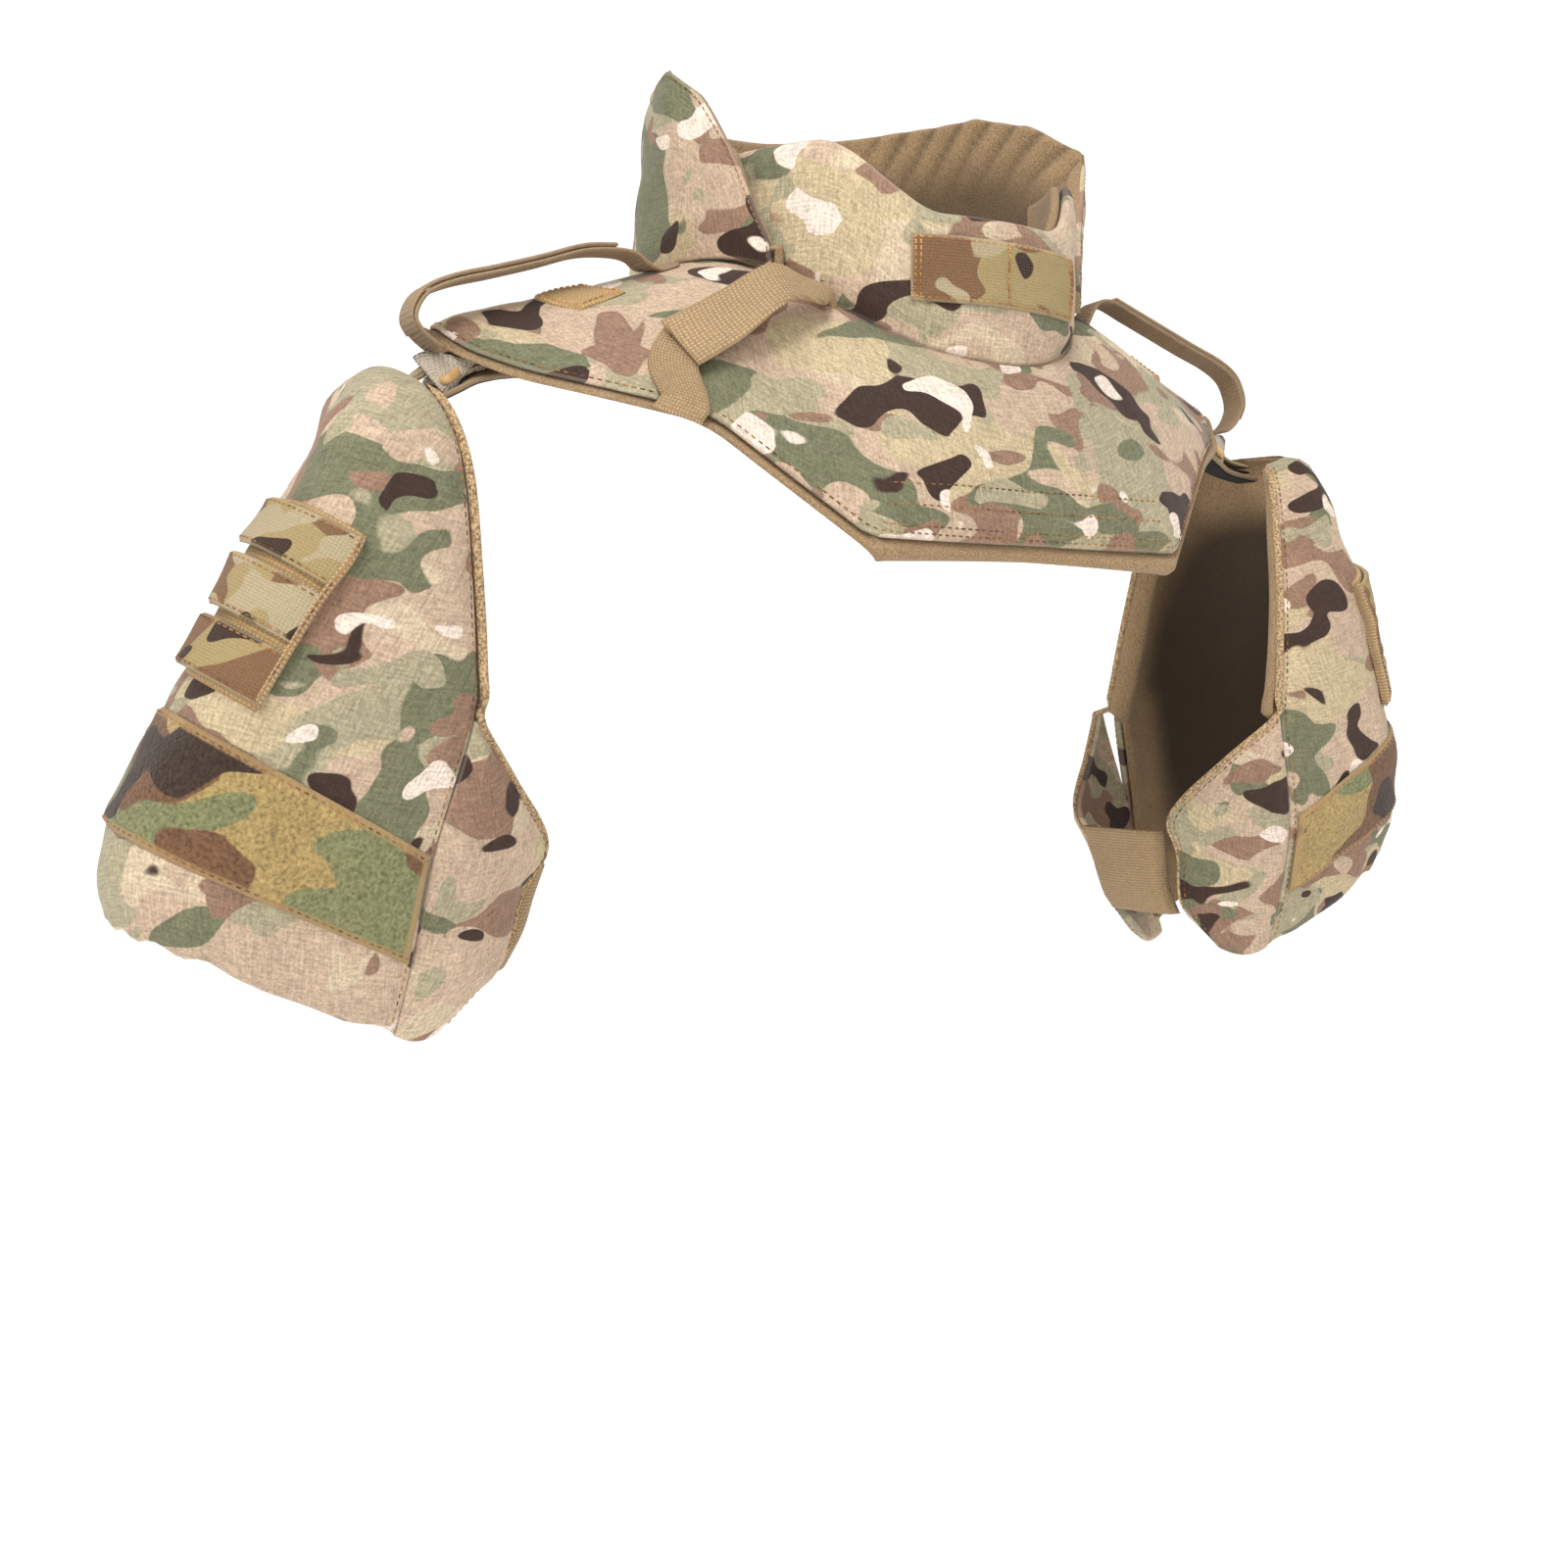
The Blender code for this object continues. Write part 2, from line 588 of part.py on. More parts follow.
def build_shell(side, collection, materials):
    turns = np.linspace(-ARM_TURN, ARM_TURN, 19)
    thin = blend(ARM_TOP_THIN, 1.0, smooth_step(0.0, ARM_FULL_FROM, np.array(ARM_LEVELS)))[:, None]
    top = -COVER * thin - LAYER_GAP
    for stem, high, low, paint in (
        ("arm_cover", 0.0, -COVER * thin, "camo_fabric"),
        ("arm_lining", top, top - LINING * thin, "tan_fleece"),
    ):
        panel(side_name(stem, side), ARM, ARM_LEVELS, turns, high, low, materials[paint], collection, side)


def build_band(side, collection, materials):
    turns = np.linspace(-BAND_TURN, BAND_TURN, 19)
    top = WEBBING_LIFT + WEBBING
    paint = materials["loop_camo"]
    panel(side_name("arm_band", side), ARM, BAND_LEVELS, turns, top, WEBBING_LIFT, paint, collection, side)


def patch_point(share, step):
    """A point of the arm's face, in the webbing patch's own shares down and across."""
    front = blend(*np.array(PATCH_FRONT), share)
    back = blend(*np.array(PATCH_BACK), share)
    return arm_point(*blend(front, back, step))


PATCH = Surface(patch_point, 0.12, 0.12)


def build_webbing_rows(side, collection, materials):
    steps = np.linspace(0, 1, 7)
    base_top = WEBBING_LIFT + WEBBING
    name = side_name("row_base", side)
    shares = np.linspace(0, 1, 5)
    panel(name, PATCH, shares, steps, base_top, WEBBING_LIFT, materials["tan_webbing"], collection, side)
    low = base_top + ROW_LIFT
    for number, (start, end) in enumerate(PATCH_ROWS, start=1):
        shares = np.linspace(start, end, 3)
        name = side_name(f"webbing_row_{number}", side)
        panel(name, PATCH, shares, steps, low + WEBBING, low, materials["camo_webbing"], collection, side)


def gusset_grid(columns):
    """Front gusset, from its inner edge to just short of the arm's seam."""
    rows = []
    for row, x, y, z, bulge in GUSSET_ROWS:
        seam = arm_point(row, -ARM_TURN) + np.array([-0.0012, 0.0006, 0.0])
        inner = np.array([x, y, z])
        line = []
        for share in np.linspace(0, 1, columns):
            point = blend(inner, seam, share)
            line.append(point + np.array([-0.4, -1.0, 0.0]) * bulge * 4 * share * (1 - share))
        rows.append(line)
    return np.array(rows)


def arm_middle():
    """y of the plane that the front and rear gussets mirror each other in."""
    return (ARM_ROWS[6][4] + ARM_ROWS[6][5]) / 2


def build_gussets(side, collection, materials):
    front = gusset_grid(5)
    rear = (front * np.array([1, -1, 1]) + np.array([0, 2 * arm_middle(), 0]))[:, ::-1]
    for stem, points in (("front_gusset", front), ("rear_gusset", rear)):
        points = points if side > 0 else mirrored(points)
        sheet(side_name(stem, side), points, COVER, materials["camo_fabric"], collection)


def underarm_grid():
    """Elastic from behind the front gusset to behind the rear one, facing the body."""
    rows = []
    for x, y, z in UNDERARM_ROWS:
        front = [(x + out, y + back, z) for out, back in UNDERARM_PLAN]
        rear = [(px, 2 * arm_middle() - py, pz) for px, py, pz in reversed(front)]
        rows.append((front + rear)[::-1])
    return np.array(rows)


# ---------------------------------------------------------------- what hangs the arms

def build_strap(name, points, side, material, collection):
    points = points if side > 0 else mirrored(points)
    sheet(name, points, WEBBING, material, collection)


def build_buckle(side, material, collection):
    """Rectangular slide of round rod between the two hanging straps."""
    name = side_name("buckle", side)
    curve = bpy.data.curves.new(name, "CURVE")
    curve.dimensions = "3D"
    curve.resolution_u = 1
    curve.render_resolution_u = 0
    curve.bevel_depth = BUCKLE_ROD
    curve.bevel_resolution = 1
    spline = curve.splines.new("POLY")
    spline.points.add(len(BUCKLE_PATH) - 1)
    for point, (x, y, z) in zip(spline.points, BUCKLE_PATH):
        point.co = (side * x, y, z, 1)
    spline.use_cyclic_u = True
    curve.materials.append(material)
    collection.objects.link(bpy.data.objects.new(name, curve))


def build_hanger(side, collection, materials):
    for stem, table, paint in (
        ("camo_strap", CAMO_STRAP, "camo_webbing"),
        ("black_strap", BLACK_STRAP, "black_webbing"),
    ):
        points = np.array(table).reshape(-1, 2, 3)
        build_strap(side_name(stem, side), points, side, materials[paint], collection)
    build_buckle(side, materials["tan_plastic"], collection)
    name = side_name("underarm_strap", side)
    build_strap(name, underarm_grid(), side, materials["tan_webbing"], collection)


def main():
    clear_scene()
    collection = bpy.data.collections.new("shoulder_and_neck_protector")
    bpy.context.scene.collection.children.link(collection)
    materials = {name: make_material(name) for name in PALETTE}
    build_bib(collection, materials)
    build_yoke(collection, materials)
    build_front_collar(collection, materials)
    build_collar_patch(collection, materials)
    build_rear_collar(collection, materials)
    build_closure(collection, materials)
    for side in (-1, 1):
        build_shoulder_patch(side, collection, materials)
        build_shoulder_loop(side, collection, materials)
        build_shell(side, collection, materials)
        build_gussets(side, collection, materials)
        build_webbing_rows(side, collection, materials)
        build_band(side, collection, materials)
        build_hanger(side, collection, materials)


main()
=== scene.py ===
"""Looks of the padded shoulder and neck protector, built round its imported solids.

Metres, +Z up. The wearer faces -Y, and the wearer's right is -X.
Angles round the neck are in degrees: 0 at the front, positive to the wearer's left, 180 at the back.
Each panel is sampled finely from the same values as its solid, then given its seams, rolls and folds.
"""

from collections import namedtuple
from math import atan2, cos, degrees, radians, sin

import bpy
import numpy as np
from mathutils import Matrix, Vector, noise


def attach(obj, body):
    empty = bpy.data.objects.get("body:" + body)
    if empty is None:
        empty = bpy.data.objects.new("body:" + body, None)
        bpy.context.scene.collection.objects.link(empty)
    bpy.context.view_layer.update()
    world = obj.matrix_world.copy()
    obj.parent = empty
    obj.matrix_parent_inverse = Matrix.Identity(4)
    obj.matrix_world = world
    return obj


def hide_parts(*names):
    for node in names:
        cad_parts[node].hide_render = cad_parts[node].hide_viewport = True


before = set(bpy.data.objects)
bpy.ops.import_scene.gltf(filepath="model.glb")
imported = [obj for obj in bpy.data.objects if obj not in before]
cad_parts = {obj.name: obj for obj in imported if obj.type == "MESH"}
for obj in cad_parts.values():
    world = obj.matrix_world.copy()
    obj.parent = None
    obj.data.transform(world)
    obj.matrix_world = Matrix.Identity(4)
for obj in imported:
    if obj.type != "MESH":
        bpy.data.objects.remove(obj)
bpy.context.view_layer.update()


def millimetres(rows, first=0):
    """Table in metres, from rows whose columns from the first on are in millimetres."""
    table = np.array(rows, float)
    table[:, first:] /= 1000
    return table


# Thicknesses
COVER = 0.0050  # outer layer with its armour insert
COLLAR_COVER = 0.0060
LINING = 0.0045  # fleece lining under it
LAYER_GAP = 0.0004  # between layers that touch
WEBBING = 0.0018
TAB = 0.0028
WEBBING_LIFT = 0.0010  # webbing sewn flat stands this far off the cover
EDGE_THIN = 0.60  # the yoke thins to this share of its thickness at its outline
EDGE_THIN_FROM = 0.72  # share of the ray where the thinning starts
THIN_TURNS = (50.0, 70.0)  # degrees round the neck between which it begins

# Neck ring
YOKE_RING = 0.0945  # radius of the yoke's inner edge
SEAM_FRONT = -0.010  # height of that edge at the front
SEAM_SIDE = 0.040
SEAM_BACK = 0.034
COLLAR_RADIUS = 0.0950  # outer face of the front collar at its base, at most
COLLAR_ROOT = 0.0012  # gap between the yoke's inner edge and the front collar above it
BACK_ROOT = 0.0016  # gap between the yoke and the rear collar standing on it

# Yoke and bib outline: angle at the neck, outer corner, and how far the middle of the ray bulges
# Columns: angle, x, y, z, bulge_y, bulge_z
OUTLINE = millimetres((
    (0, 0, -116, -99, -10, 2), (38, 83, -121, -100, -8, 4),
    (58, 143, -81, -44, -5, 6), (76, 203, -31, -25, -2, 4),
    (85, 222, -9, -13, -1, 0), (91, 230, 3, -1, 0, -2),
    (98, 222, 24, -4, 1, 0), (110, 190, 58, -14, 2, 1),
    (124, 152, 89, -4, 4, 2), (142, 100, 113, 1, 5, 3),
    (180, 0, 127, 2, 6, 3),
), first=1)
CLOSURE_ANGLE = -58.0  # the bib meets the yoke here on the wearer's right
SHOULDER_SEAM = 91.0  # and here on the wearer's left
CLOSURE_LEAN = 4.3  # degrees by which the closure's joint bows back between its ends
LEAN_REACH = 14.0  # and from the joint to where the panels' columns are straight again
LEAN_IN = (0.25, 0.55)  # shares of the ray between which the bow begins
LEAN_OUT = (0.72, 1.0)  # and ends
LIP = 0.045  # share of each ray by which the lining passes the cover
LINING_FROM = 0.06  # and where the lining starts
BIB_LIP = 0.040  # further share by which it passes the cover along the bib's bottom
BIB_LENGTH = 0.091  # of a ray there
BIB_CORNER = (37.0, 41.0)  # degrees between which that edge ends
LIP_WIDTH = 0.0050

# Front collar: half plan of its outer face, and its ends
FRONT_COLLAR_ENDS = (-78.0, 76.0)
FRONT_COLLAR_LOW = 0.0505  # height of the top edge at the throat
FRONT_COLLAR_HIGH = 0.083  # and at the sides
FRONT_COLLAR_RISE = (17, 52)  # degrees between which the edge rises
FRONT_COLLAR_TUCK = 1.03  # share of its height by which its cover reaches into the bib
# Columns: angle, radius
COLLAR_PLAN = millimetres((
    (0, 96.5), (27, 98), (45, 94), (60, 92.5), (90, 91.5),
), first=1)
COLLAR_PATCH_TURN = 27.0
COLLAR_PATCH_HEIGHTS = (0.0405, 0.0120)

# Rear collar, whose ends stand up as wings
# Columns: angle, radius_low, radius_high on the left and right, z_high on the left and right
REAR_COLLAR = millimetres((
    (62, 102, 102, 102, 38, 38), (65, 102.5, 103, 103, 50, 50),
    (71, 104.5, 107.8, 107.8, 80, 80), (77, 107, 115.5, 115.5, 103, 103),
    (83, 109.5, 122.5, 122.5, 115, 114), (97, 111.5, 114, 112, 131, 116),
    (112, 113.5, 108, 106, 139, 118), (135, 114.5, 104, 104, 136, 121),
    (180, 114, 101, 101, 126, 126),
), first=1)
REAR_COLLAR_END = 62  # degrees round the neck
REAR_COLLAR_TUCK = 1.05  # share of its height by which its cover reaches into the yoke
QUILT_PITCH = 0.0160  # between the ridges inside it
QUILT_RIDGE = 0.0026
QUILT_START = (74, 88)  # degrees between which the ridges begin
QUILT_END = (156, 136)  # and end
QUILT_DROP = (0.050, 0.004)  # and distances below the top edge
PLEAT_SHADE = 0.60  # share of painted shade in the pleats between them
REAR_RIM = 2.2  # degrees by which the lining's rolled rim passes the cover at the wings
WING_TIP = 83.0  # degrees round the neck
WING_REACH = (0.026, 0.003)  # distances from the tip over which the wing gets thinner
TIP_TURNS = (12.0, 3.0)  # and degrees over which its rim gets lower
TIP_ROUND = 0.9  # share of the rim's reach lost at the tip
WING_THIN = 0.70  # and of the layers' thickness

# Closure tab: both edges, from its sewn end at the collar to its free end on the yoke
# Columns: upper_x, upper_y, upper_z, lower_x, lower_y, lower_z
CLOSURE_TAB_PATH = millimetres((
    (-69.5, -68, 16.5, -72.8, -70, 10.5), (-77.5, -71, 18.8, -81.5, -79, 8.5),
    (-90.1, -73, 20.7, -95.9, -85, 8.5), (-107.5, -74, 23.7, -110.9, -90, 3.8),
    (-128.6, -66, 10.6, -127.3, -84, -10.7), (-148.8, -56, -1.5, -142.2, -75, -21.5),
))
TAB_ROOT = (0.0030, 0.0015, -0.0085)  # from the first row to where it is sewn in
# Elastic under the tab: share of the ray, and the angle of each edge
# Columns: share, angle_back, angle_front
ELASTIC_ROWS = np.array((
    (0.60, -68.2, -63.6), (0.73, -67.2, -62.6), (0.85, -65.6, -60.8), (0.955, -62.6, -59.2),
))
ELASTIC_WRAP = 0.8  # rows over which it turns down round the yoke's edge
ELASTIC_OUT = 0.0012
ELASTIC_DROP = 0.0018
ELASTIC_PAST = 0.5  # degrees by which its front edge passes the joint

# Loop fabric on each shoulder
SHOULDER_PATCH_ANGLES = (79.5, 90.5)
SHOULDER_PATCH_SHARES = (0.44, 0.62)

# Raised strap on each shoulder, folded under the yoke's tip
LOOP_WIDTH = 0.0135
LOOP_MIDDLE = -0.007  # y of the strap's centre line
LOOP_TILT_LEFT = 3.5  # degrees by which each strap's front edge is raised
LOOP_TILT_RIGHT = 3.0
LOOP_ROOTS = (0.1140, 0.1225)  # x of the stretch sewn to the yoke
LOOP_DOUBLED = slice(4, 13)  # rows where its webbing lies double
# Columns: x, z_left, z_right
SHOULDER_LOOP_PATH = millimetres((
    (129, 40, 32), (134.5, 44.8, 35.2), (144, 45.2, 35.8), (160, 40, 33.5),
    (180, 33.5, 26.5), (200, 27, 20), (218, 21.5, 14.5), (230, 15.5, 9),
    (235.5, 8, 3), (237.6, 0, -3.5), (235, -7, -8.5), (230.8, -11.8, -12),
    (226, -15, -15),
))
# Arm shell rows, from the top to the hem, for the wearer's left
# Columns: z_in, z_out, x_in, x_out, y_front, y_back
ARM_ROWS = millimetres((
    (-31, -24, 240, 258, -30, 30), (-44, -30, 234, 266, -41, 44),
    (-66, -44, 230, 275, -49, 56), (-100, -62, 229, 284, -54, 67),
    (-140, -85, 228, 297, -56, 77), (-165, -107, 229, 311, -55, 82),
    (-219, -160, 244, 340, -49, 88), (-262, -205, 249, 362, -38, 86),
    (-292, -240, 252, 367, -26, 80),
))
ARM_SWEEP = 0.30  # how much narrower the shell gets per metre towards its back
ARM_SWEEP_FROM = -0.020  # y at which x_out is measured
ARM_SWEEP_DEPTH = 0.050  # a shell shallower than this is swept less
ARM_TURN = 115.0  # the shell turns this many degrees each way from its outer side
ARM_ROUND = 2.9  # exponent of the shell's section, 2 for an ellipse
ARM_CENTRE = 0.36  # share of the shell's depth where its section is widest
ARM_TOP_THIN = 0.30  # the shell thins to this share at its top edge
ARM_FULL_FROM = 2.0  # row where it has its full thickness
ARM_MIDDLE = (ARM_ROWS[6, 4] + ARM_ROWS[6, 5]) / 2  # y at which the gussets mirror each other
ARM_BINDING = 6.5  # degrees by which the lining's rolled edge passes the cover
BINDING_TOP = 1.5  # and by how much more at the arm's top
BINDING_MARKS = (0.0, 0.1, 0.22, 0.4, 0.62, 0.82)
BINDING_END = (4.85, 5.15)  # rows between which it ends at the gusset
BINDING_ROLL = 0.0034  # how much thicker it is
CORD_ROWS = (0.12, 4.95)  # rows between which the edge's cord runs
CORD_IN = (0.07, 0.6)  # rows between which it thickens
CORD_OUT = (5.0, 4.6)  # and thins
CORD_PAST = 2.0  # degrees past the arm's edge
CORD_RADIUS = 0.0019
HEM_WAVE = 0.0032  # how far the hem waves up and down
HEM_ROWS = (6.9, 8.0)  # rows between which the wave begins
BAND_LEVELS = (6.0, 7.0)
BAND_TURN = 113.0

# Front gusset rows: row of the arm's seam, inner edge, bulge forward
# Columns: row, x, y, z, bulge
GUSSET_ROWS = millimetres((
    (5, 226, -50, -166, 0), (5.5, 203, -33, -190, 3), (6, 181, -18, -217, 5),
    (6.5, 190, -14, -237, 6), (7.2, 207, -10, -268, 5), (8, 233, -10, -299, 2),
), first=1)
GUSSET_LEAN = (-0.4, -1.0, 0.0)  # direction of the bulge
GUSSET_FULL = (-0.0080, 0.0, 0.0)  # its lower corner is fuller than its solid's
GUSSET_FULL_ROWS = (3.0, 4.0)
GUSSET_LIFT = 0.0070  # its inner corner is this much higher
GUSSET_LIFT_ROWS = (3.9, 5.0)
GUSSET_SAG = 0.0040  # and its hem sags
GUSSET_SAG_ROWS = (4.2, 5.0)
PIPING_START = (4.80, 4.90)  # rows down the arm's edge where the gusset's piping starts
PIPING_DEPTH = 0.0010  # how far its middle lies below the gusset's face
PIPING_WIDE = 0.0016  # radius at its top
PIPING_NARROW = 0.0008  # and from its middle on
PIPING_NARROWS = (1.9, 2.7)
PIPING_END = 0.90  # share of the gusset's rows where it has gone
PIPING_ENDS_FROM = 3.6  # row where it starts to go

# Front gusset's inner edge where the underarm elastic is sewn behind it
# Columns: x, y, z
UNDERARM_ROWS = millimetres((
    (186, -16, -226), (191, -13, -241), (199, -11, -256), (209, -10, -272),
))
UNDERARM_SHIFT = (0.0035, 0.0050)  # inwards all along, and further at its bottom
UNDERARM_SHIFT_HEIGHTS = (-0.235, -0.262)
# Plan of the elastic from there: (towards the arm, backwards)
UNDERARM_PLAN = ((0.0060, 0.0085), (-0.0030, 0.0085), (-0.0065, 0.0110), (-0.0075, 0.0180))

# Webbing patch on the arm: (row, turn) at the top and the bottom of each edge
PATCH_FRONT = np.array(((3.66, -72.6), (5.75, -61.5)))
PATCH_BACK = np.array(((3.75, -13.0), (5.75, -16.0)))
PATCH_ROWS = ((0.040, 0.500), (0.561, 0.786), (0.817, 0.982))  # equal heights on the arm
ROW_LIFT = 0.0014  # the webbing rows stand this far off their base
ROW_BULGE = 0.0018  # and further towards their back edge
ROW_BULGE_SHARES = (0.35, 0.85)
STRIP_SHARES = (0.01, 0.99)  # of the patch's height, for the strip along its front edge
STRIP_STEPS = (-0.015, 0.045)  # and of its width
STRIP_RISE = 0.0006  # above the rows

# Straps that hang each arm from the yoke's tip
# Columns: front_x, front_y, front_z, back_x, back_y, back_z
CAMO_STRAP = millimetres((
    (198, -7, -16.5, 200, 15, -7.5), (207.2, -7, -17.6, 211.3, 15, -10.5),
    (216.2, -6.5, -19.3, 218, 14, -15), (223.4, -6, -20.5, 223.7, 12, -17.8),
    (227.7, -5, -22, 228.1, 10, -20.5), (232, -4.5, -25, 232.5, 9.5, -24),
    (240, -4.5, -28, 240.5, 9.5, -27.5), (251.5, -4.5, -29.5, 251.5, 9.5, -29.5),
))
BLACK_STRAP = millimetres((
    (178, -13, -10, 180, 8, -2.5), (189, -13, -20.5, 191, 8, -9.5),
    (201.3, -13, -23.5, 202.5, 7, -15), (210.6, -13, -26.1, 207, 6, -20.5),
    (218.8, -13, -30.4, 212.8, 5, -25.6), (227.5, -12, -34.5, 223.5, 4, -31),
    (239, -10, -36.2, 238, 4, -35), (252.5, -9, -37.2, 252.5, 4, -37),
))
# Folded edge of the camouflage strap, painted pale as a painted highlight on its round, and the webbing
# that runs through the buckle
STRAP_FOLD = millimetres((
    (203, -7.2, -18.2, 203.2, -7, -19), (209.8, -7.8, -18.4, 209.8, -7.8, -19.9),
    (219, -7.6, -19.7, 217.8, -8.4, -22.2), (225.5, -7, -21, 223, -8.6, -25),
    (230, -6.2, -24, 227.2, -8.4, -28.2),
))
BUCKLE_WEBBING = millimetres((
    (202, -9, -18.8, 204, 9, -15), (208.2, -9, -18.6, 211, 8.5, -15),
    (213, -9, -22.2, 215, 8, -19), (218, -8.8, -26.2, 219, 7.5, -24),
    (224, -8.5, -30, 224.5, 7, -28.5), (233, -8, -32.2, 233, 6.5, -31.5),
    (249, -7.8, -33.5, 249, 6, -33.5),
))
# Columns: x, y, z
BUCKLE_PATH = millimetres((
    (218, -12, -23.2), (224, -12, -27.2), (224, 9, -25.8), (218, 9, -22.2),
))
BUCKLE_ROD = 0.0014  # radius
BUCKLE_FLAT = 1.45  # how much taller the rod is than wide
BUCKLE_SHARES = (0.12, 0.2, 0.5, 0.8, 0.88)  # points along each of its sides
STRAP_EDGE = 0.0012  # radius of the lower strap's rolled front edge
STRAP_FACE = 0.0007  # thickness of its tan face

# Fine sampling
STEP = 0.0040  # between samples in the middle of a panel
RIBBON_STEP = 0.0020  # and along a strap
EDGE_MARKS = np.array((0.0, 0.0004, 0.0011, 0.0021, 0.0034, 0.0050))  # samples next to an edge
RAY_ROUND = (-2.4, -0.8, 0.8, 2.4)  # angles over which a ray of the outline is averaged
BIB_CRISP = 0.35  # share of that at the bib's corners
CRISP_TURNS = (44, 52)  # degrees between which it becomes the whole of it
SQUARE = 1e-5  # radius of an edge that isn't rounded
THIN_ROUND = 0.0006  # radius of webbing's edges

# Cloth
PUFF = 0.0010  # how far the middle of a cover stands off its solid's face
SEAM_PINCH = 0.0010  # how far it is drawn in along a seam
SEED_STEP = 7.31  # shift of the noise from one seed to the next
# Soft folds: sizes along x, y and z, height and seed
YOKE_FOLDS = ((0.045, 0.060, 0.055, 0.0020, 1), (0.016, 0.030, 0.030, 0.0008, 2))
COLLAR_FOLDS = ((0.045, 0.045, 0.018, 0.0014, 3), (0.020, 0.020, 0.010, 0.0006, 4))
ARM_FOLDS = ((0.050, 0.045, 0.024, 0.0026, 5), (0.018, 0.018, 0.012, 0.0008, 6))
ELASTIC_FOLDS = ((0.03, 0.03, 0.03, 0.001, 8),)
PILE_FOLDS = ((0.004, 0.004, 0.004, 0.0003, 9),)
HEM_FOLDS = ((0.020, 0.020, 0.060, 0.0026, 11),)
PUCKERS = ((0.0075, 0.0075, 0.0075, 0.0007, 12),)
PUCKER_REACH = (0.018, 0.004)  # distances from an edge over which its puckers grow

# Stitches
STITCH_PITCH = 0.0036
STITCH_LENGTH = 0.0027
STITCH_RADIUS = 0.00036
BIB_STITCH_ROWS = (0.0055, 0.0140, 0.0230)  # above the bib's bottom edge
BIB_STITCH_HALF = 0.0860  # half the length of a row at that edge
BIB_STITCH_LEAN = 0.45  # by which it gets shorter with its height

# A grid of points with its outward normals, its arc lengths down and across,
# and each point's distance to the top, bottom, left and right edge
Grid = namedtuple("Grid", "points normals down across edges")
TOP, BOTTOM, LEFT, RIGHT = ALL_EDGES = range(4)


# ---------------------------------------------------------------- numbers

def blend(a, b, share):
    return a + (b - a) * share


def ramp(low, high, value):
    """0 at low and 1 at high, smooth at both ends."""
    share = np.clip((value - low) / (high - low), 0.0, 1.0)
    return share * share * (3.0 - 2.0 * share)


def smooth_rows(table, row):
    """Values of a table between its rows, on a curve that passes through each row."""
    low = int(min(max(row // 1, 0), len(table) - 2))
    share = row - low
    before = table[max(low - 1, 0)]
    start, end = table[low], table[low + 1]
    after = table[min(low + 2, len(table) - 1)]
    slope_start, slope_end = (end - before) / 2, (after - start) / 2
    return ((2 * share**3 - 3 * share**2 + 1) * start + (share**3 - 2 * share**2 + share) * slope_start
            + (3 * share**2 - 2 * share**3) * end + (share**3 - share**2) * slope_end)


def between(value, column, rows):
    """Values of a table's rows, straight between them, where one of its columns has a value."""
    return np.array([np.interp(value, column, rows[:, k]) for k in range(rows.shape[1])])


def wrapped(angle):
    return angle - 360 if angle > 180 else angle


def on_ring(angle, radius, height):
    return np.array([radius * sin(radians(angle)), -radius * cos(radians(angle)), height])


def mirrored(points, side):
    """Points of the wearer's left, or their mirror image on the right."""
    return points * np.array([-1, 1, 1]) if side < 0 else points


def unit(vectors):
    return vectors / np.maximum(np.linalg.norm(vectors, axis=-1, keepdims=True), 1e-12)


def lengths_along(points):
    """Arc length from the first point to each point."""
    steps = np.linalg.norm(np.diff(points, axis=0), axis=-1)
    return np.concatenate([np.zeros((1,) + steps.shape[1:]), np.cumsum(steps, axis=0)])


def distance_to_line(points, line):
    """Each point's distance to a line through a few points."""
    best = np.full(points.shape[:-1], np.inf)
    for start, run in zip(line[:-1], np.diff(line, axis=0)):
        share = np.clip(((points - start) @ run) / max((run**2).sum(), 1e-18), 0, 1)
        best = np.minimum(best, np.linalg.norm(points - start - share[..., None] * run, axis=-1))
    return best


# ---------------------------------------------------------------- grids

def sampled(point, rows, columns):
    """Grid of the points that a function of row and column gives."""
    points = np.array([[point(row, column) for column in columns] for row in rows])
    normals = unit(np.cross(np.gradient(points, axis=0), np.gradient(points, axis=1)))
    across = lengths_along(points.transpose(1, 0, 2)).T
    borders = (points[0], points[-1], points[:, 0], points[:, -1])
    edges = [distance_to_line(points, border) for border in borders]
    return Grid(points, normals, lengths_along(points), across, edges)


def marks(curve, start, end, step=STEP):
    """Parameters from start to end, a step apart along the curve and closer at both ends."""
    knots = np.linspace(start, end, 160)
    length = lengths_along(np.array([curve(k) for k in knots]))
    near, total = EDGE_MARKS[-1], length[-1]
    inner = np.linspace(near, total - near, max(2, round(total / step)))
    return np.interp(np.concatenate([EDGE_MARKS[:-1], inner, total - EDGE_MARKS[-2::-1]]), length, knots)


def ribbon(table, count=9):
    """Grid of a strap, from a short table of the points on its two edges."""
    table = table.reshape(-1, 2, 3)
    rows = marks(lambda row: smooth_rows(table[:, 0], row), 0, len(table) - 1, RIBBON_STEP)
    near = EDGE_MARKS[:4] / np.linalg.norm(table[0, 0] - table[0, 1])
    shares = np.concatenate([near, np.linspace(near[-1], 1 - near[-1], count)[1:-1], 1 - near[::-1]])
    return sampled(lambda row, share: blend(*smooth_rows(table, row), share), rows, shares)


def folds(points, table, side=0):
    """Height of soft folds at each point."""
    height = np.zeros(points.shape[:2])
    for *sizes, depth, seed in table:
        where = mirrored(points, side) / np.array(sizes) + seed * SEED_STEP
        for index in np.ndindex(height.shape):
            height[index] += depth * noise.noise(Vector(where[index]))
    return height


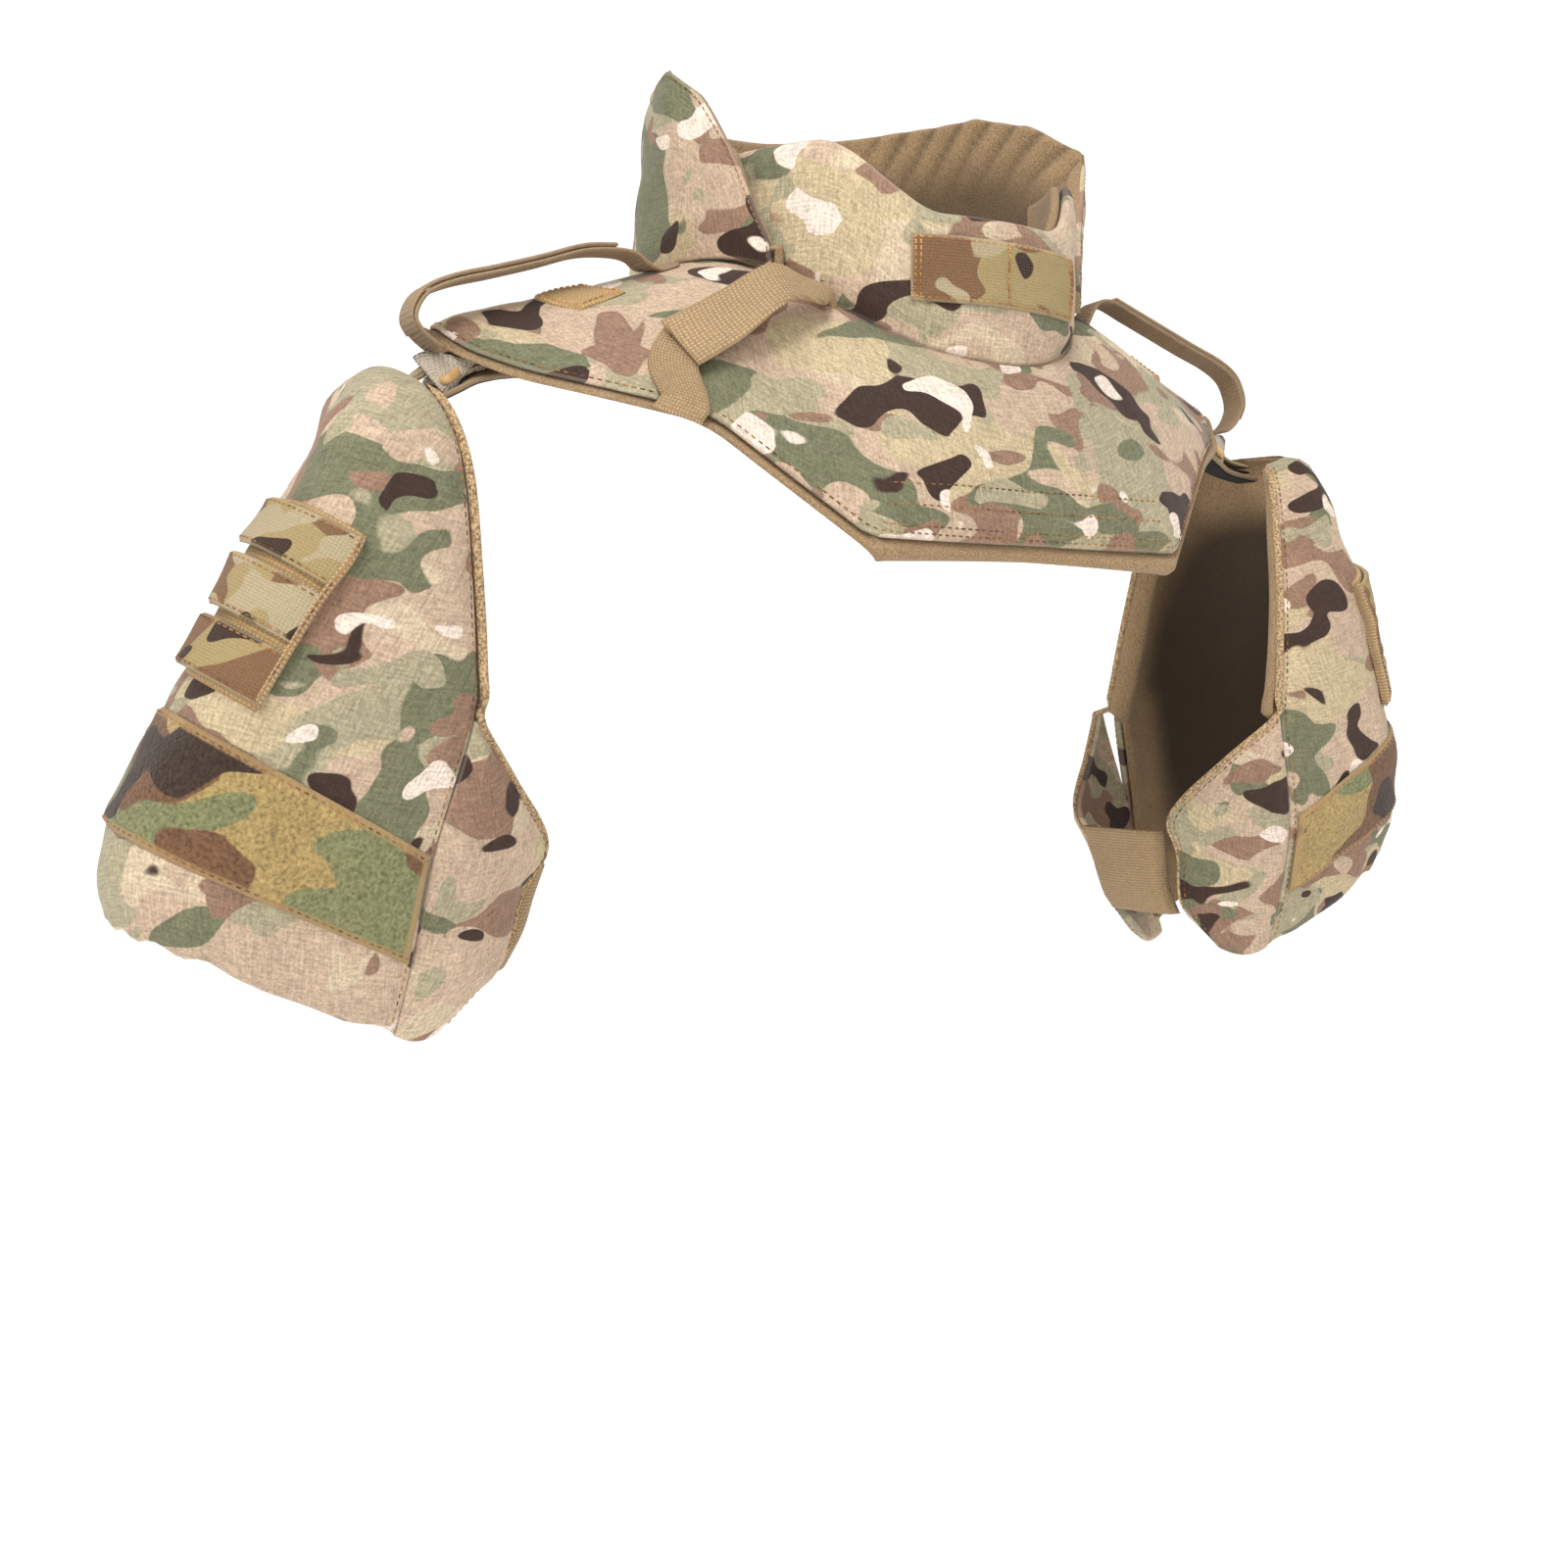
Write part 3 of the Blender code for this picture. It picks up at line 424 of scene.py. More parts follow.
def nearest(grid, edges=ALL_EDGES):
    """Each point's distance to the nearest of a panel's edges."""
    return np.minimum.reduce([grid.edges[edge] for edge in edges])


def roundness(edges, radii):
    """Share of the thickness left at each point of a panel with rounded edges."""
    share = np.ones(edges[0].shape)
    for distance, radius in zip(edges, np.broadcast_to(radii, 4)):
        rest = 1 - np.clip(distance / radius, 0, 1)
        share *= np.sqrt(np.maximum(1 - rest**2, 0.004))
    return share


def inset(outer, grid, edge, distance, margin=0.0):
    """Line on a panel's face at a distance from one of its edges, and the normals there."""
    gap, points, normals = grid.edges[edge], outer, grid.normals
    if edge in (LEFT, RIGHT):
        gap, points, normals = gap.T, points.transpose(1, 0, 2), normals.transpose(1, 0, 2)
    if edge in (BOTTOM, RIGHT):
        gap, points, normals = gap[::-1], points[::-1], normals[::-1]
    half = len(gap) * 2 // 3
    columns = range(gap.shape[1])
    line, facing = (np.array([between(distance, gap[:half, j], rows[:half, j]) for j in columns])
                    for rows in (points, normals))
    along = lengths_along(line)
    chosen = (along >= margin) & (along <= along[-1] - margin)
    return line[chosen], facing[chosen]


# ---------------------------------------------------------------- surfaces, as in the solids

known_rays = {}


def seam_height(angle):
    """Height of the yoke's inner edge at an angle round the neck."""
    side = abs(sin(radians(angle)))
    if abs(angle) < 90:
        return blend(SEAM_FRONT, SEAM_SIDE, side**2.4)
    return blend(SEAM_BACK, SEAM_SIDE, side**2)


def ray_root(angle):
    return on_ring(angle, YOKE_RING, seam_height(wrapped(angle)))


def sharp_ray(angle):
    """Inner point, outer point and bulge of the ray at an angle round the neck."""
    turn = abs(angle) if abs(angle) <= 180 else 360 - abs(angle)
    x, y, z, bulge_y, bulge_z = between(turn, OUTLINE[:, 0], OUTLINE[:, 1:])
    side = 1 if sin(radians(angle)) >= 0 else -1
    return np.array([ray_root(angle), (side * x, y, z), (0, bulge_y, bulge_z)])


def yoke_ray(angle):
    """The same ray, averaged with its neighbours so that the outline's corners are round."""
    if angle not in known_rays:
        spread = blend(BIB_CRISP, 1.0, ramp(*CRISP_TURNS, abs(wrapped(angle))))
        ray = np.mean([sharp_ray(angle + turn * spread) for turn in RAY_ROUND], axis=0)
        ray[0] = ray_root(angle)
        known_rays[angle] = ray
    return known_rays[angle]


def yoke_point(share, angle):
    """A point of the yoke's top face, from its inner edge at 0 to its outline at 1."""
    inner, outer, bulge = yoke_ray(angle)
    return blend(inner, outer, share) + bulge * 4 * share * (1 - share)


def closure_bow(share, angle):
    """Degrees by which the layers' columns bow with the closure's joint."""
    near = max(0.0, 1 - abs(wrapped(angle) - CLOSURE_ANGLE) / LEAN_REACH)
    return CLOSURE_LEAN * near * ramp(*LEAN_IN, share) * (1 - ramp(*LEAN_OUT, share))


def layer_point(share, angle):
    return yoke_point(share, round(angle - closure_bow(share, angle), 2))


def cover_point(share, angle):
    """The yoke's face as the cover runs, shorter along the bib's bottom edge."""
    short = BIB_LIP * (1 - ramp(*BIB_CORNER, abs(wrapped(angle)))) * share**4
    return layer_point(share * (1 - short), angle)


def yoke_height(angle, radius):
    """Height of the yoke's top face where it is that far from the neck's axis."""
    outer = yoke_ray(angle)[1]
    share = (radius - YOKE_RING) / (np.hypot(outer[0], outer[1]) - YOKE_RING)
    return yoke_point(np.clip(share, 0, 1), angle)[2]


def on_yoke(x, y):
    """Where the face of a strap lies when it is sewn to the yoke at x, y."""
    return x, y, yoke_height(degrees(atan2(x, -y)), np.hypot(x, y)) + WEBBING + WEBBING_LIFT


def wide_elastic_point(row, step):
    """The elastic, with its front edge carried on over the joint."""
    last = len(ELASTIC_ROWS) - 1
    share, back, _ = smooth_rows(ELASTIC_ROWS, min(row, last))
    angle = blend(back, CLOSURE_ANGLE - closure_bow(share, CLOSURE_ANGLE) + ELASTIC_PAST, step)
    point = yoke_point(share, angle)
    if row > last:
        edge = yoke_point(1.0, angle)
        out = unit((edge - point) * np.array([1, 1, 0]))
        turned = radians(90 * (row - last) / ELASTIC_WRAP)
        point = blend(point, edge, min(1.0, 1.6 * sin(turned)))
        point = point + ELASTIC_OUT * sin(turned) * out
        point[2] -= ELASTIC_DROP * (1 - cos(turned))
    return point


def collar_radius(angle):
    return np.interp(abs(angle), COLLAR_PLAN[:, 0], COLLAR_PLAN[:, 1])


def front_collar_point(drop, angle):
    """A point of the front collar's outer face, from its top edge at 0 to its base at 1."""
    top = blend(FRONT_COLLAR_LOW, FRONT_COLLAR_HIGH, ramp(*FRONT_COLLAR_RISE, abs(angle)))
    height = blend(top, seam_height(angle) + COLLAR_ROOT, drop)
    base = min(COLLAR_RADIUS, collar_radius(angle) - 0.0005)
    radius = blend(base, collar_radius(angle), ramp(0, 0.45, 1 - drop))
    return on_ring(angle, radius, height)


def collar_patch_point(height, angle):
    return on_ring(angle, collar_radius(angle), height)


def rear_collar_point(drop, angle):
    """A point of the rear collar's outer face, from its top edge at 0 to its base at 1."""
    angle = wrapped(angle)
    columns = REAR_COLLAR[:, (1, 2, 4) if angle >= 0 else (1, 3, 5)]
    radius_low, radius_high, z_high = between(abs(angle), REAR_COLLAR[:, 0], columns)
    base = yoke_height(angle, radius_low - COVER - LAYER_GAP - LINING) + BACK_ROOT
    return on_ring(angle, blend(radius_high, radius_low, drop), blend(z_high, base, drop))


def rim_point(drop, angle):
    """The same, with the rim above the top edge lower at the wings' tips."""
    at_tip = ramp(*TIP_TURNS, abs(abs(wrapped(angle)) - WING_TIP))
    return rear_collar_point(max(drop, 0) + min(drop, 0) * (1 - TIP_ROUND * at_tip), angle)


def arm_point(row, turn):
    """A point of the left arm's outer face: row down it, degrees round it from its outer side."""
    z_in, z_out, x_in, x_out, y_front, y_back = smooth_rows(ARM_ROWS, row)
    x_mid = blend(x_in, x_out, ARM_CENTRE)
    c, s = cos(radians(turn)), sin(radians(turn))
    if c >= 0:
        x = x_mid + (x_out - x_mid) * c**(2 / ARM_ROUND)
    else:
        x = x_mid + (x_mid - x_in) * c / abs(cos(radians(ARM_TURN)))
    y_mid, y_half = (y_front + y_back) / 2, (y_back - y_front) / 2
    y = y_mid + y_half * np.sign(s) * abs(s)**(2 / ARM_ROUND)
    share = (x - x_in) / (x_out - x_in)
    sweep = ARM_SWEEP * min(1.0, (x_out - x_in) / ARM_SWEEP_DEPTH)
    x -= sweep * (y - ARM_SWEEP_FROM) * max(share, 0)
    return np.array([x, y, blend(z_in, z_out, share)])


def hem_point(row, turn):
    """The arm's face, with a hem that waves a little."""
    short, long = (Vector((turn / width, 0.5, seed)) for width, seed in ((9.0, 3.3), (24.0, 7.7)))
    wave = noise.noise(short) + 0.6 * noise.noise(long)
    return arm_point(row, turn) + np.array([0, 0, HEM_WAVE * wave * ramp(*HEM_ROWS, row)])


def arm_lining_point(row, turn):
    """The arm's surface, with the rolled edge carried past the cover down to the gusset."""
    past = max(abs(turn) - ARM_TURN, 0)
    wide = blend(BINDING_TOP, 1.0, ramp(0.0, 3.0, row)) * ARM_BINDING
    reach = blend(wide, 0.3, ramp(*BINDING_END, row))
    return hem_point(row, np.sign(turn) * (min(abs(turn), ARM_TURN) + past * reach))


def patch_point(share, step):
    """A point of the arm's face, in the webbing patch's own shares down and across."""
    return arm_point(*blend(blend(*PATCH_FRONT, share), blend(*PATCH_BACK, share), step))


def gusset_point(place, share):
    """A point of the front gusset's face, from its inner edge at 0 to the arm's seam at 1."""
    row, x, y, z, bulge = smooth_rows(GUSSET_ROWS, place)
    full = np.array(GUSSET_FULL) * ramp(*GUSSET_FULL_ROWS, place)
    lift = np.array([0, 0, GUSSET_LIFT]) * ramp(*GUSSET_LIFT_ROWS, place)
    point = blend(np.array([x, y, z]) + full + lift, arm_point(row, -ARM_TURN), share)
    middle = 4 * share * (1 - share)
    point[2] -= GUSSET_SAG * ramp(*GUSSET_SAG_ROWS, place) * middle
    return point + np.array(GUSSET_LEAN) * bulge * middle


def rear_gusset_point(place, share):
    x, y, z = gusset_point(place, 1 - share)
    return np.array([x, 2 * ARM_MIDDLE - y, z])


# ---------------------------------------------------------------- pieces

def side_name(stem, side):
    return stem + {-1: "_right", 0: "", 1: "_left"}[side]


def new_object(name, data):
    thing = bpy.data.objects.new(name, data)
    bpy.context.scene.collection.objects.link(thing)
    return thing


def new_mesh(name, points, faces, paint):
    mesh = bpy.data.meshes.new(name)
    mesh.from_pydata(points, [], faces)
    mesh.shade_smooth()
    mesh.materials.append(MATERIALS[paint])
    return new_object(name, mesh)


def mesh_piece(stem, points, faces, paint, side=0):
    """A new piece, which stands for the solid of its name if there is one."""
    name = side_name(stem, side)
    piece = new_mesh(name, np.asarray(points).tolist(), faces, paint)
    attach(piece, "root")
    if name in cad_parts:
        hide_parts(name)
    return piece


def quads(corners):
    """Faces between the rows and columns of a grid of corner numbers."""
    corners = (corners[:-1, :-1], corners[1:, :-1], corners[1:, 1:], corners[:-1, 1:])
    return np.stack(corners, axis=-1).reshape(-1, 4)


def ring_quads(rings, sides, closed=False):
    """Faces of a tube, from ring to ring."""
    corners = np.arange(rings * sides).reshape(rings, sides)
    corners = np.hstack([corners, corners[:, :1]])
    if closed:
        corners = np.vstack([corners, corners[:1]])
    return quads(corners.T).tolist()


def add_values(mesh, name, kind, values):
    """Values for a material, given for one face of a panel or for both."""
    values = values.reshape(-1, 3) if kind == "FLOAT_VECTOR" else values.ravel()
    values = np.resize(values, (len(mesh.vertices),) + values.shape[1:])
    mesh.attributes.new(name, kind, "POINT").data.foreach_set(
        "vector" if kind == "FLOAT_VECTOR" else "value", values.ravel())


def panel(stem, paint, grid, top, bottom, radii, side=0, fill=None, cut=(0, 0, 0), pleat_shading=None):
    """A closed panel between two offsets from a grid, with its edges rounded. Returns its outer face.

    The cut moves it to its own place on the camouflaged cloth.
    """
    share = roundness(grid.edges, radii)
    middle, half = (top + bottom) / 2, (top - bottom) / 2 * share
    outer = grid.points + grid.normals * (middle + half)[..., None]
    inner = grid.points + grid.normals * (middle - half)[..., None]
    count = share.size
    corners = np.arange(count).reshape(share.shape)
    face = quads(corners)
    rim = np.concatenate([corners[0], corners[1:, -1], corners[-1, -2::-1], corners[-2:0:-1, 0]])
    next_rim = np.roll(rim, -1)
    walls = np.stack([rim, next_rim, next_rim + count, rim + count], axis=-1)
    faces = np.concatenate([face, face[:, ::-1] + count, walls])
    points = mirrored(np.concatenate([outer.reshape(-1, 3), inner.reshape(-1, 3)]), side)
    piece = mesh_piece(stem, points, faces[:, ::-1 if side < 0 else 1].tolist(), paint, side)
    across = grid.across - grid.across[:, share.shape[1] // 2, None]
    cloth = np.stack([across, grid.down], axis=-1).reshape(-1, 2)
    spots = np.empty(len(piece.data.loops), dtype=np.int32)
    piece.data.loops.foreach_get("vertex_index", spots)
    piece.data.uv_layers.new(name="cloth").data.foreach_set("uv", cloth[spots % count].ravel())
    add_values(piece.data, "pattern", "FLOAT_VECTOR", points + np.array(cut))
    add_values(piece.data, "edge", "FLOAT", nearest(grid))
    # Painted shade in the pleats of a quilted lining.
    if pleat_shading is not None:
        add_values(piece.data, "pleat_shade", "FLOAT", pleat_shading)
    return outer


def patch(stem, paint, grid, table, side=0, **more):
    """Webbing sewn flat on a cover, following its folds. Returns its outer face."""
    top = PUFF + WEBBING + folds(grid.points, table, side)
    return panel(stem, paint, grid, top, 0.0, THIN_ROUND, side, **more)


def tube(stem, paint, line, radius, side=0, closed=False, sides=10, flat=1.0, up=(0, 0, 1)):
    """A round cord along a line, with one radius or one for each of its points."""
    line = mirrored(np.array(line), side)
    if closed:
        ahead, behind = np.roll(line, -1, axis=0), np.roll(line, 1, axis=0)
    else:
        ahead, behind = np.vstack([line[1:], line[-1:]]), np.vstack([line[:1], line[:-1]])
    run = unit(ahead - behind)
    beside = unit(np.cross(run, np.array(up, float)))
    above = np.cross(beside, run)
    turns = np.linspace(0, 2 * np.pi, sides, endpoint=False)
    ring = beside[:, None] * np.cos(turns)[:, None] + flat * above[:, None] * np.sin(turns)[:, None]
    rings = line[:, None] + np.broadcast_to(radius, len(line))[:, None, None] * ring
    faces = ring_quads(len(line), sides, closed)
    if not closed:
        last = (len(line) - 1) * sides
        faces += [list(range(sides))[::-1], list(range(last, last + sides))]
    mesh_piece(stem, rings.reshape(-1, 3), faces, paint, side)


STITCH_FACES = [face for a, b in ((1, 2), (2, 3), (3, 4), (4, 1))
                for face in ((0, b, a), (a, b, 4 + b, 4 + a), (9, 4 + a, 4 + b))]


class Stitches:
    """Rows of stitches that become one piece."""

    def __init__(self, side=0):
        self.side, self.points, self.faces = side, [], []

    def row(self, line, facing, pitch=STITCH_PITCH, radius=STITCH_RADIUS):
        """Sews a row along a line on a face with the given normals."""
        along = lengths_along(line)
        for spot in np.arange(pitch / 2, along[-1] - pitch / 2, pitch):
            start, end = (between(spot + way * STITCH_LENGTH / 2, along, line) for way in (-1, 1))
            up = unit(between(spot, along, facing))
            beside = unit(np.cross(end - start, up))
            below = -up * radius * 0.6
            ring = (beside * radius, up * radius * 1.3, -beside * radius, below)
            points = [start + below]
            points += [blend(start, end, share) + arm for share in (0.22, 0.78) for arm in ring]
            points.append(end + below)
            first = len(self.points)
            self.points += [mirrored(point, self.side) for point in points]
            turn = -1 if self.side < 0 else 1
            self.faces += [tuple(first + corner for corner in face[::turn]) for face in STITCH_FACES]

    def beside(self, outer, grid, edges, distance, margin=0.0, **sizes):
        """Sews a row at a distance from each of a panel's edges, with a margin left at its ends."""
        for edge in edges:
            self.row(*inset(outer, grid, edge, distance, margin), **sizes)

    def finish(self, stem, paint="thread"):
        mesh_piece(stem, self.points, self.faces, paint, self.side)


# ---------------------------------------------------------------- materials

def srgb(*shades):
    """Linear colour from red, green and blue of 0 to 255."""
    shares = np.array(shades) / 255
    linear = np.where(shares <= 0.04045, shares / 12.92, ((shares + 0.055) / 1.055)**2.4)
    return (*linear.tolist(), 1.0)


PAINTS = {name: srgb(*shades) for name, shades in {
    "tan": (184, 160, 136), "sand": (193, 174, 146), "khaki": (184, 166, 132),
    "pale_green": (160, 150, 122),
    "green": (110, 110, 84), "brown": (140, 110, 90), "dark": (60, 42, 34), "cream": (222, 204, 188),
    "olive": (164, 140, 90), "moss": (124, 124, 86), "bark": (112, 80, 56), "soot": (60, 46, 36),
    "web_olive": (172, 150, 104), "web_brown": (132, 98, 68), "web_dark": (66, 48, 38),
    # The darkest fleece paint is painted shade, for the linings' hollows and pleats.
    "fleece_light": (170, 143, 108), "fleece_dark": (134, 108, 76), "fleece_shade": (62, 49, 37),
    "webbing": (206, 176, 134), "webbing_dark": (116, 90, 60), "tape": (168, 138, 96),
    "tape_edge": (214, 178, 124), "strap": (172, 146, 114), "strap_dark": (104, 84, 62),
    "thread_light": (176, 124, 70), "thread_dark": (92, 60, 34),
    "bright_light": (206, 158, 98), "bright_dark": (150, 100, 54),
    "plastic": (222, 186, 130), "plastic_dark": (182, 142, 88),
    "black": (34, 31, 29), "soft_black": (16, 15, 14),
}.items()}
# Camouflage: the ground, then each colour, its blotches' size and the noise value above which it shows
CAMOUFLAGE = (
    "tan",
    ("sand", 0.110, 0.52), ("khaki", 0.095, 0.56), ("pale_green", 0.076, 0.575),
    ("brown", 0.066, 0.570), ("green", 0.064, 0.595), ("tan", 0.050, 0.625), ("brown", 0.042, 0.640),
    ("pale_green", 0.038, 0.660), ("dark", 0.042, 0.635), ("cream", 0.040, 0.670),
)
WEBBING_CAMOUFLAGE = (
    "web_olive", ("web_brown", 0.060, 0.50), ("khaki", 0.060, 0.60), ("web_dark", 0.042, 0.61),
)
LOOP_CAMOUFLAGE = ("olive", ("moss", 0.055, 0.55), ("bark", 0.050, 0.53), ("soot", 0.040, 0.66))
CAMOUFLAGE_PLACE = (1.0, 1.0, 1.55)  # the blotches are wider than they are high
CAMOUFLAGE_BEND = 0.034  # how far their outlines are bent
BLOTCH_EDGE = 0.004  # half the noise range over which one colour turns into the next
WEAR_AND_HIGHLIGHT_REACH = (0.0004, 0.0016)  # distances from a panel's edge over which its paler edge fades: wear, and on the cover cloth also a painted highlight
WAVE_SCALE = 0.3142  # scale at which the wave texture repeats each metre

MATERIALS = {}
dict.fromkeys(
    ("elastic", "tape", "strap", "piping", "strap_fold_highlight", "thread", "bright_thread"), "tan_webbing")


def new_tree(name):
    material = bpy.data.materials.new(name)
    material.use_nodes = True
    MATERIALS[name] = material
    return material.node_tree


def put(tree, node, inputs):
    """Sets a node's inputs to numbers, or joins them to sockets."""
    for key, value in inputs.items():
        if isinstance(value, bpy.types.NodeSocket):
            tree.links.new(value, node.inputs[key])
        else:
            node.inputs[key].default_value = value


def add(tree, kind, inputs, **settings):
    """New node with its inputs and settings."""
    node = tree.nodes.new(kind)
    for key, value in settings.items():
        setattr(node, key, value)
    put(tree, node, inputs)
    return node


def math(tree, operation, a, b):
    return add(tree, "ShaderNodeMath", {0: a, 1: b}, operation=operation).outputs[0]


def vector(tree, operation, a, b):
    return add(tree, "ShaderNodeVectorMath", {0: a, 1: b}, operation=operation).outputs[0]


def rest(tree, value, share=1.0):
    """What a value leaves of 1, times a share."""
    return math(tree, "MULTIPLY", math(tree, "SUBTRACT", 1.0, value), share)


def cloud(tree, place, scale=1.0, detail=1.0, rough=0.5):
    """Noise from about 0.2 to 0.8."""
    inputs = {"Vector": place, "Scale": scale, "Detail": detail, "Roughness": rough}
    return add(tree, "ShaderNodeTexNoise", inputs).outputs[0]


def over(tree, value, low, high):
    """0 below low and 1 above high."""
    inputs = {0: value, 1: low, 2: high}
    return add(tree, "ShaderNodeMapRange", inputs, interpolation_type="SMOOTHSTEP").outputs[0]


def mixed(tree, factor, a, b, how="MIX"):
    """Mix of two colours, each a socket, a colour or the name of a paint."""
    a, b = (PAINTS[colour] if isinstance(colour, str) else colour for colour in (a, b))
    inputs = {0: factor, 6: a, 7: b}
    return add(tree, "ShaderNodeMix", inputs, data_type="RGBA", blend_type=how).outputs[2]


def attribute(tree, name, output="Fac"):
    return add(tree, "ShaderNodeAttribute", {}, attribute_name=name).outputs[output]


def cloth_coordinates(tree):
    return add(tree, "ShaderNodeUVMap", {}, uv_map="cloth").outputs[0]


def grain(tree, size, detail=2.0):
    return cloud(tree, attribute(tree, "pattern", "Vector"), 1 / size, detail)


def slubs(tree, size):
    """Uneven threads of a plain weave: the sum of streaks along and across the cloth."""
    cloth = cloth_coordinates(tree)
    along, across = (cloud(tree, vector(tree, "MULTIPLY", cloth, (a / size, b / size, 1.0)))
                     for a, b in ((1, 0.12), (0.12, 1)))
    return math(tree, "MULTIPLY", math(tree, "ADD", along, across), 0.5)


def ribs(tree, across, along):
    """Even threads of webbing, at a pitch across it and one along it."""
    threads = []
    for pitch, way in ((across, "X"), (along, "Y")):
        inputs = {"Vector": cloth_coordinates(tree), "Scale": WAVE_SCALE / pitch}
        threads.append(add(tree, "ShaderNodeTexWave", inputs, bands_direction=way).outputs[1])
    return math(tree, "MULTIPLY", *threads)


def camouflage(tree, palette, spread=1.0):
    """Plain blotches of several sizes, one colour over another, with soft wavy outlines."""
    place = vector(tree, "MULTIPLY", attribute(tree, "pattern", "Vector"), CAMOUFLAGE_PLACE)
    inputs = {"Vector": place, "Scale": 24.0 / spread, "Detail": 1.0}
    bend = add(tree, "ShaderNodeTexNoise", inputs).outputs[1]
    bend = vector(tree, "ADD", bend, (-0.5,) * 3)
    place = vector(tree, "ADD", place, vector(tree, "MULTIPLY", bend, (CAMOUFLAGE_BEND * spread,) * 3))
    colour, *blotches = palette
    for number, (paint, size, share) in enumerate(blotches):
        where = vector(tree, "ADD", place, (3.7 * number, 1.9 * number, 5.3 * number))
        fog = cloud(tree, where, 1 / (size * spread), 1.2, 0.45)
        colour = mixed(tree, over(tree, fog, share - BLOTCH_EDGE, share + BLOTCH_EDGE), colour, paint)
    return colour


def toned(tree, colour, *lights):
    """Colour made lighter and darker by values round 0.5, each to its own depth."""
    for light, depth in lights:
        gain = math(tree, "ADD", math(tree, "MULTIPLY", math(tree, "SUBTRACT", light, 0.5), depth), 1.0)
        grey = add(tree, "ShaderNodeCombineColor", {0: gain, 1: gain, 2: gain}).outputs[0]
        colour = mixed(tree, 1.0, colour, grey, "MULTIPLY")
    return colour


def edge_wear_and_highlight(tree, colour, paint, share):
    """Colour with a share of a paint along the panel's edges, for wear and selvedge, and on the cover
    cloth partly for a painted highlight on its rolled edges.
    """
    return mixed(tree, rest(tree, over(tree, attribute(tree, "edge"), *WEAR_AND_HIGHLIGHT_REACH), share), colour, paint)


def finish(tree, colour, height, depth, roughness, sheen=0.0, strength=1.0):
    bump = add(tree, "ShaderNodeBump", {"Height": height, "Distance": depth, "Strength": strength})
    put(tree, tree.nodes["Principled BSDF"], {
        "Base Color": colour, "Normal": bump.outputs[0], "Roughness": roughness,
        "Sheen Weight": sheen, "Sheen Roughness": 0.5, "Specular IOR Level": 0.3})


def make_camo_fabric():
    tree = new_tree("camo_fabric")
    weave = slubs(tree, 0.0011)
    colour = toned(tree, camouflage(tree, CAMOUFLAGE),
                   (weave, 1.40), (grain(tree, 0.0012), 1.00), (grain(tree, 0.06), 0.22))
    height = math(tree, "ADD", math(tree, "MULTIPLY", weave, 0.3), grain(tree, 0.014, 1.5))
    # The cover's pale edges are partly wear and partly a painted highlight on its rolled edges.
    finish(tree, edge_wear_and_highlight(tree, colour, "cream", 0.14), height, 0.0014, 0.86, 0.06, 0.6)


def make_camo_webbing():
    tree = new_tree("camo_webbing")
    weave = ribs(tree, 0.0013, 0.0013)
    colour = toned(tree, camouflage(tree, WEBBING_CAMOUFLAGE, 0.8),
                   (weave, 0.35), (grain(tree, 0.0008), 0.35))
    finish(tree, edge_wear_and_highlight(tree, colour, "khaki", 0.55), weave, 0.0005, 0.80, 0.05)


def make_loop_camo():
    """Looped pile, with a plain woven edge."""
    tree = new_tree("loop_camo")
    pile = grain(tree, 0.0016, 3.0)
    colour = toned(tree, camouflage(tree, LOOP_CAMOUFLAGE, 1.5), (pile, 1.9), (grain(tree, 0.03), 0.25))
    ragged = math(tree, "ADD", attribute(tree, "edge"), math(tree, "MULTIPLY", pile, 0.0022))
    colour = mixed(tree, rest(tree, over(tree, ragged, 0.0036, 0.0050), 0.8), colour, "tape")
    finish(tree, colour, pile, 0.0016, 0.95, 0.12)


def make_fleece(name, reach, share):
    """Napped fleece, with painted shade away from its edges and in its pleats."""
    tree = new_tree(name)
    nap = grain(tree, 0.0008)
    colour = mixed(tree, over(tree, nap, 0.30, 0.70), "fleece_dark", "fleece_light")
    colour = toned(tree, colour, (grain(tree, 0.014), 0.25))
    # Painted shade in the pleats between the quilted ridges.
    colour = mixed(tree, attribute(tree, "pleat_shade"), colour, "fleece_shade")
    # Painted shade: the lining darkens away from its edges, where its hollows lie in shadow.
    painted_shade = math(tree, "MULTIPLY", over(tree, attribute(tree, "edge"), *reach), share)
    finish(tree, mixed(tree, painted_shade, colour, "fleece_shade"), nap, 0.0007, 0.95, 0.10)


def make_ribbed(name, paint, dark, across, along, contrast):
    """Plain webbing, darker between its threads."""
    tree = new_tree(name)
    weave = ribs(tree, across, along)
    colour = mixed(tree, rest(tree, weave, contrast), paint, dark)
    colour = toned(tree, colour, (grain(tree, 0.0010), 0.80), (grain(tree, 0.02), 0.20))
    finish(tree, colour, weave, 0.0005, 0.80, 0.05)


def make_plain(name, dark, light, scale, low, high, depth, roughness, sheen=0.0, fine=None,
               strength=1.0):
    """Two shades in soft patches, with their own relief or a finer one."""
    tree = new_tree(name)
    place = add(tree, "ShaderNodeTexCoord", {}).outputs["Object"]
    shade = cloud(tree, place, scale, 2.0)
    colour = mixed(tree, over(tree, shade, low, high), dark, light)
    finish(tree, colour, cloud(tree, place, fine) if fine else shade, depth, roughness, sheen, strength)


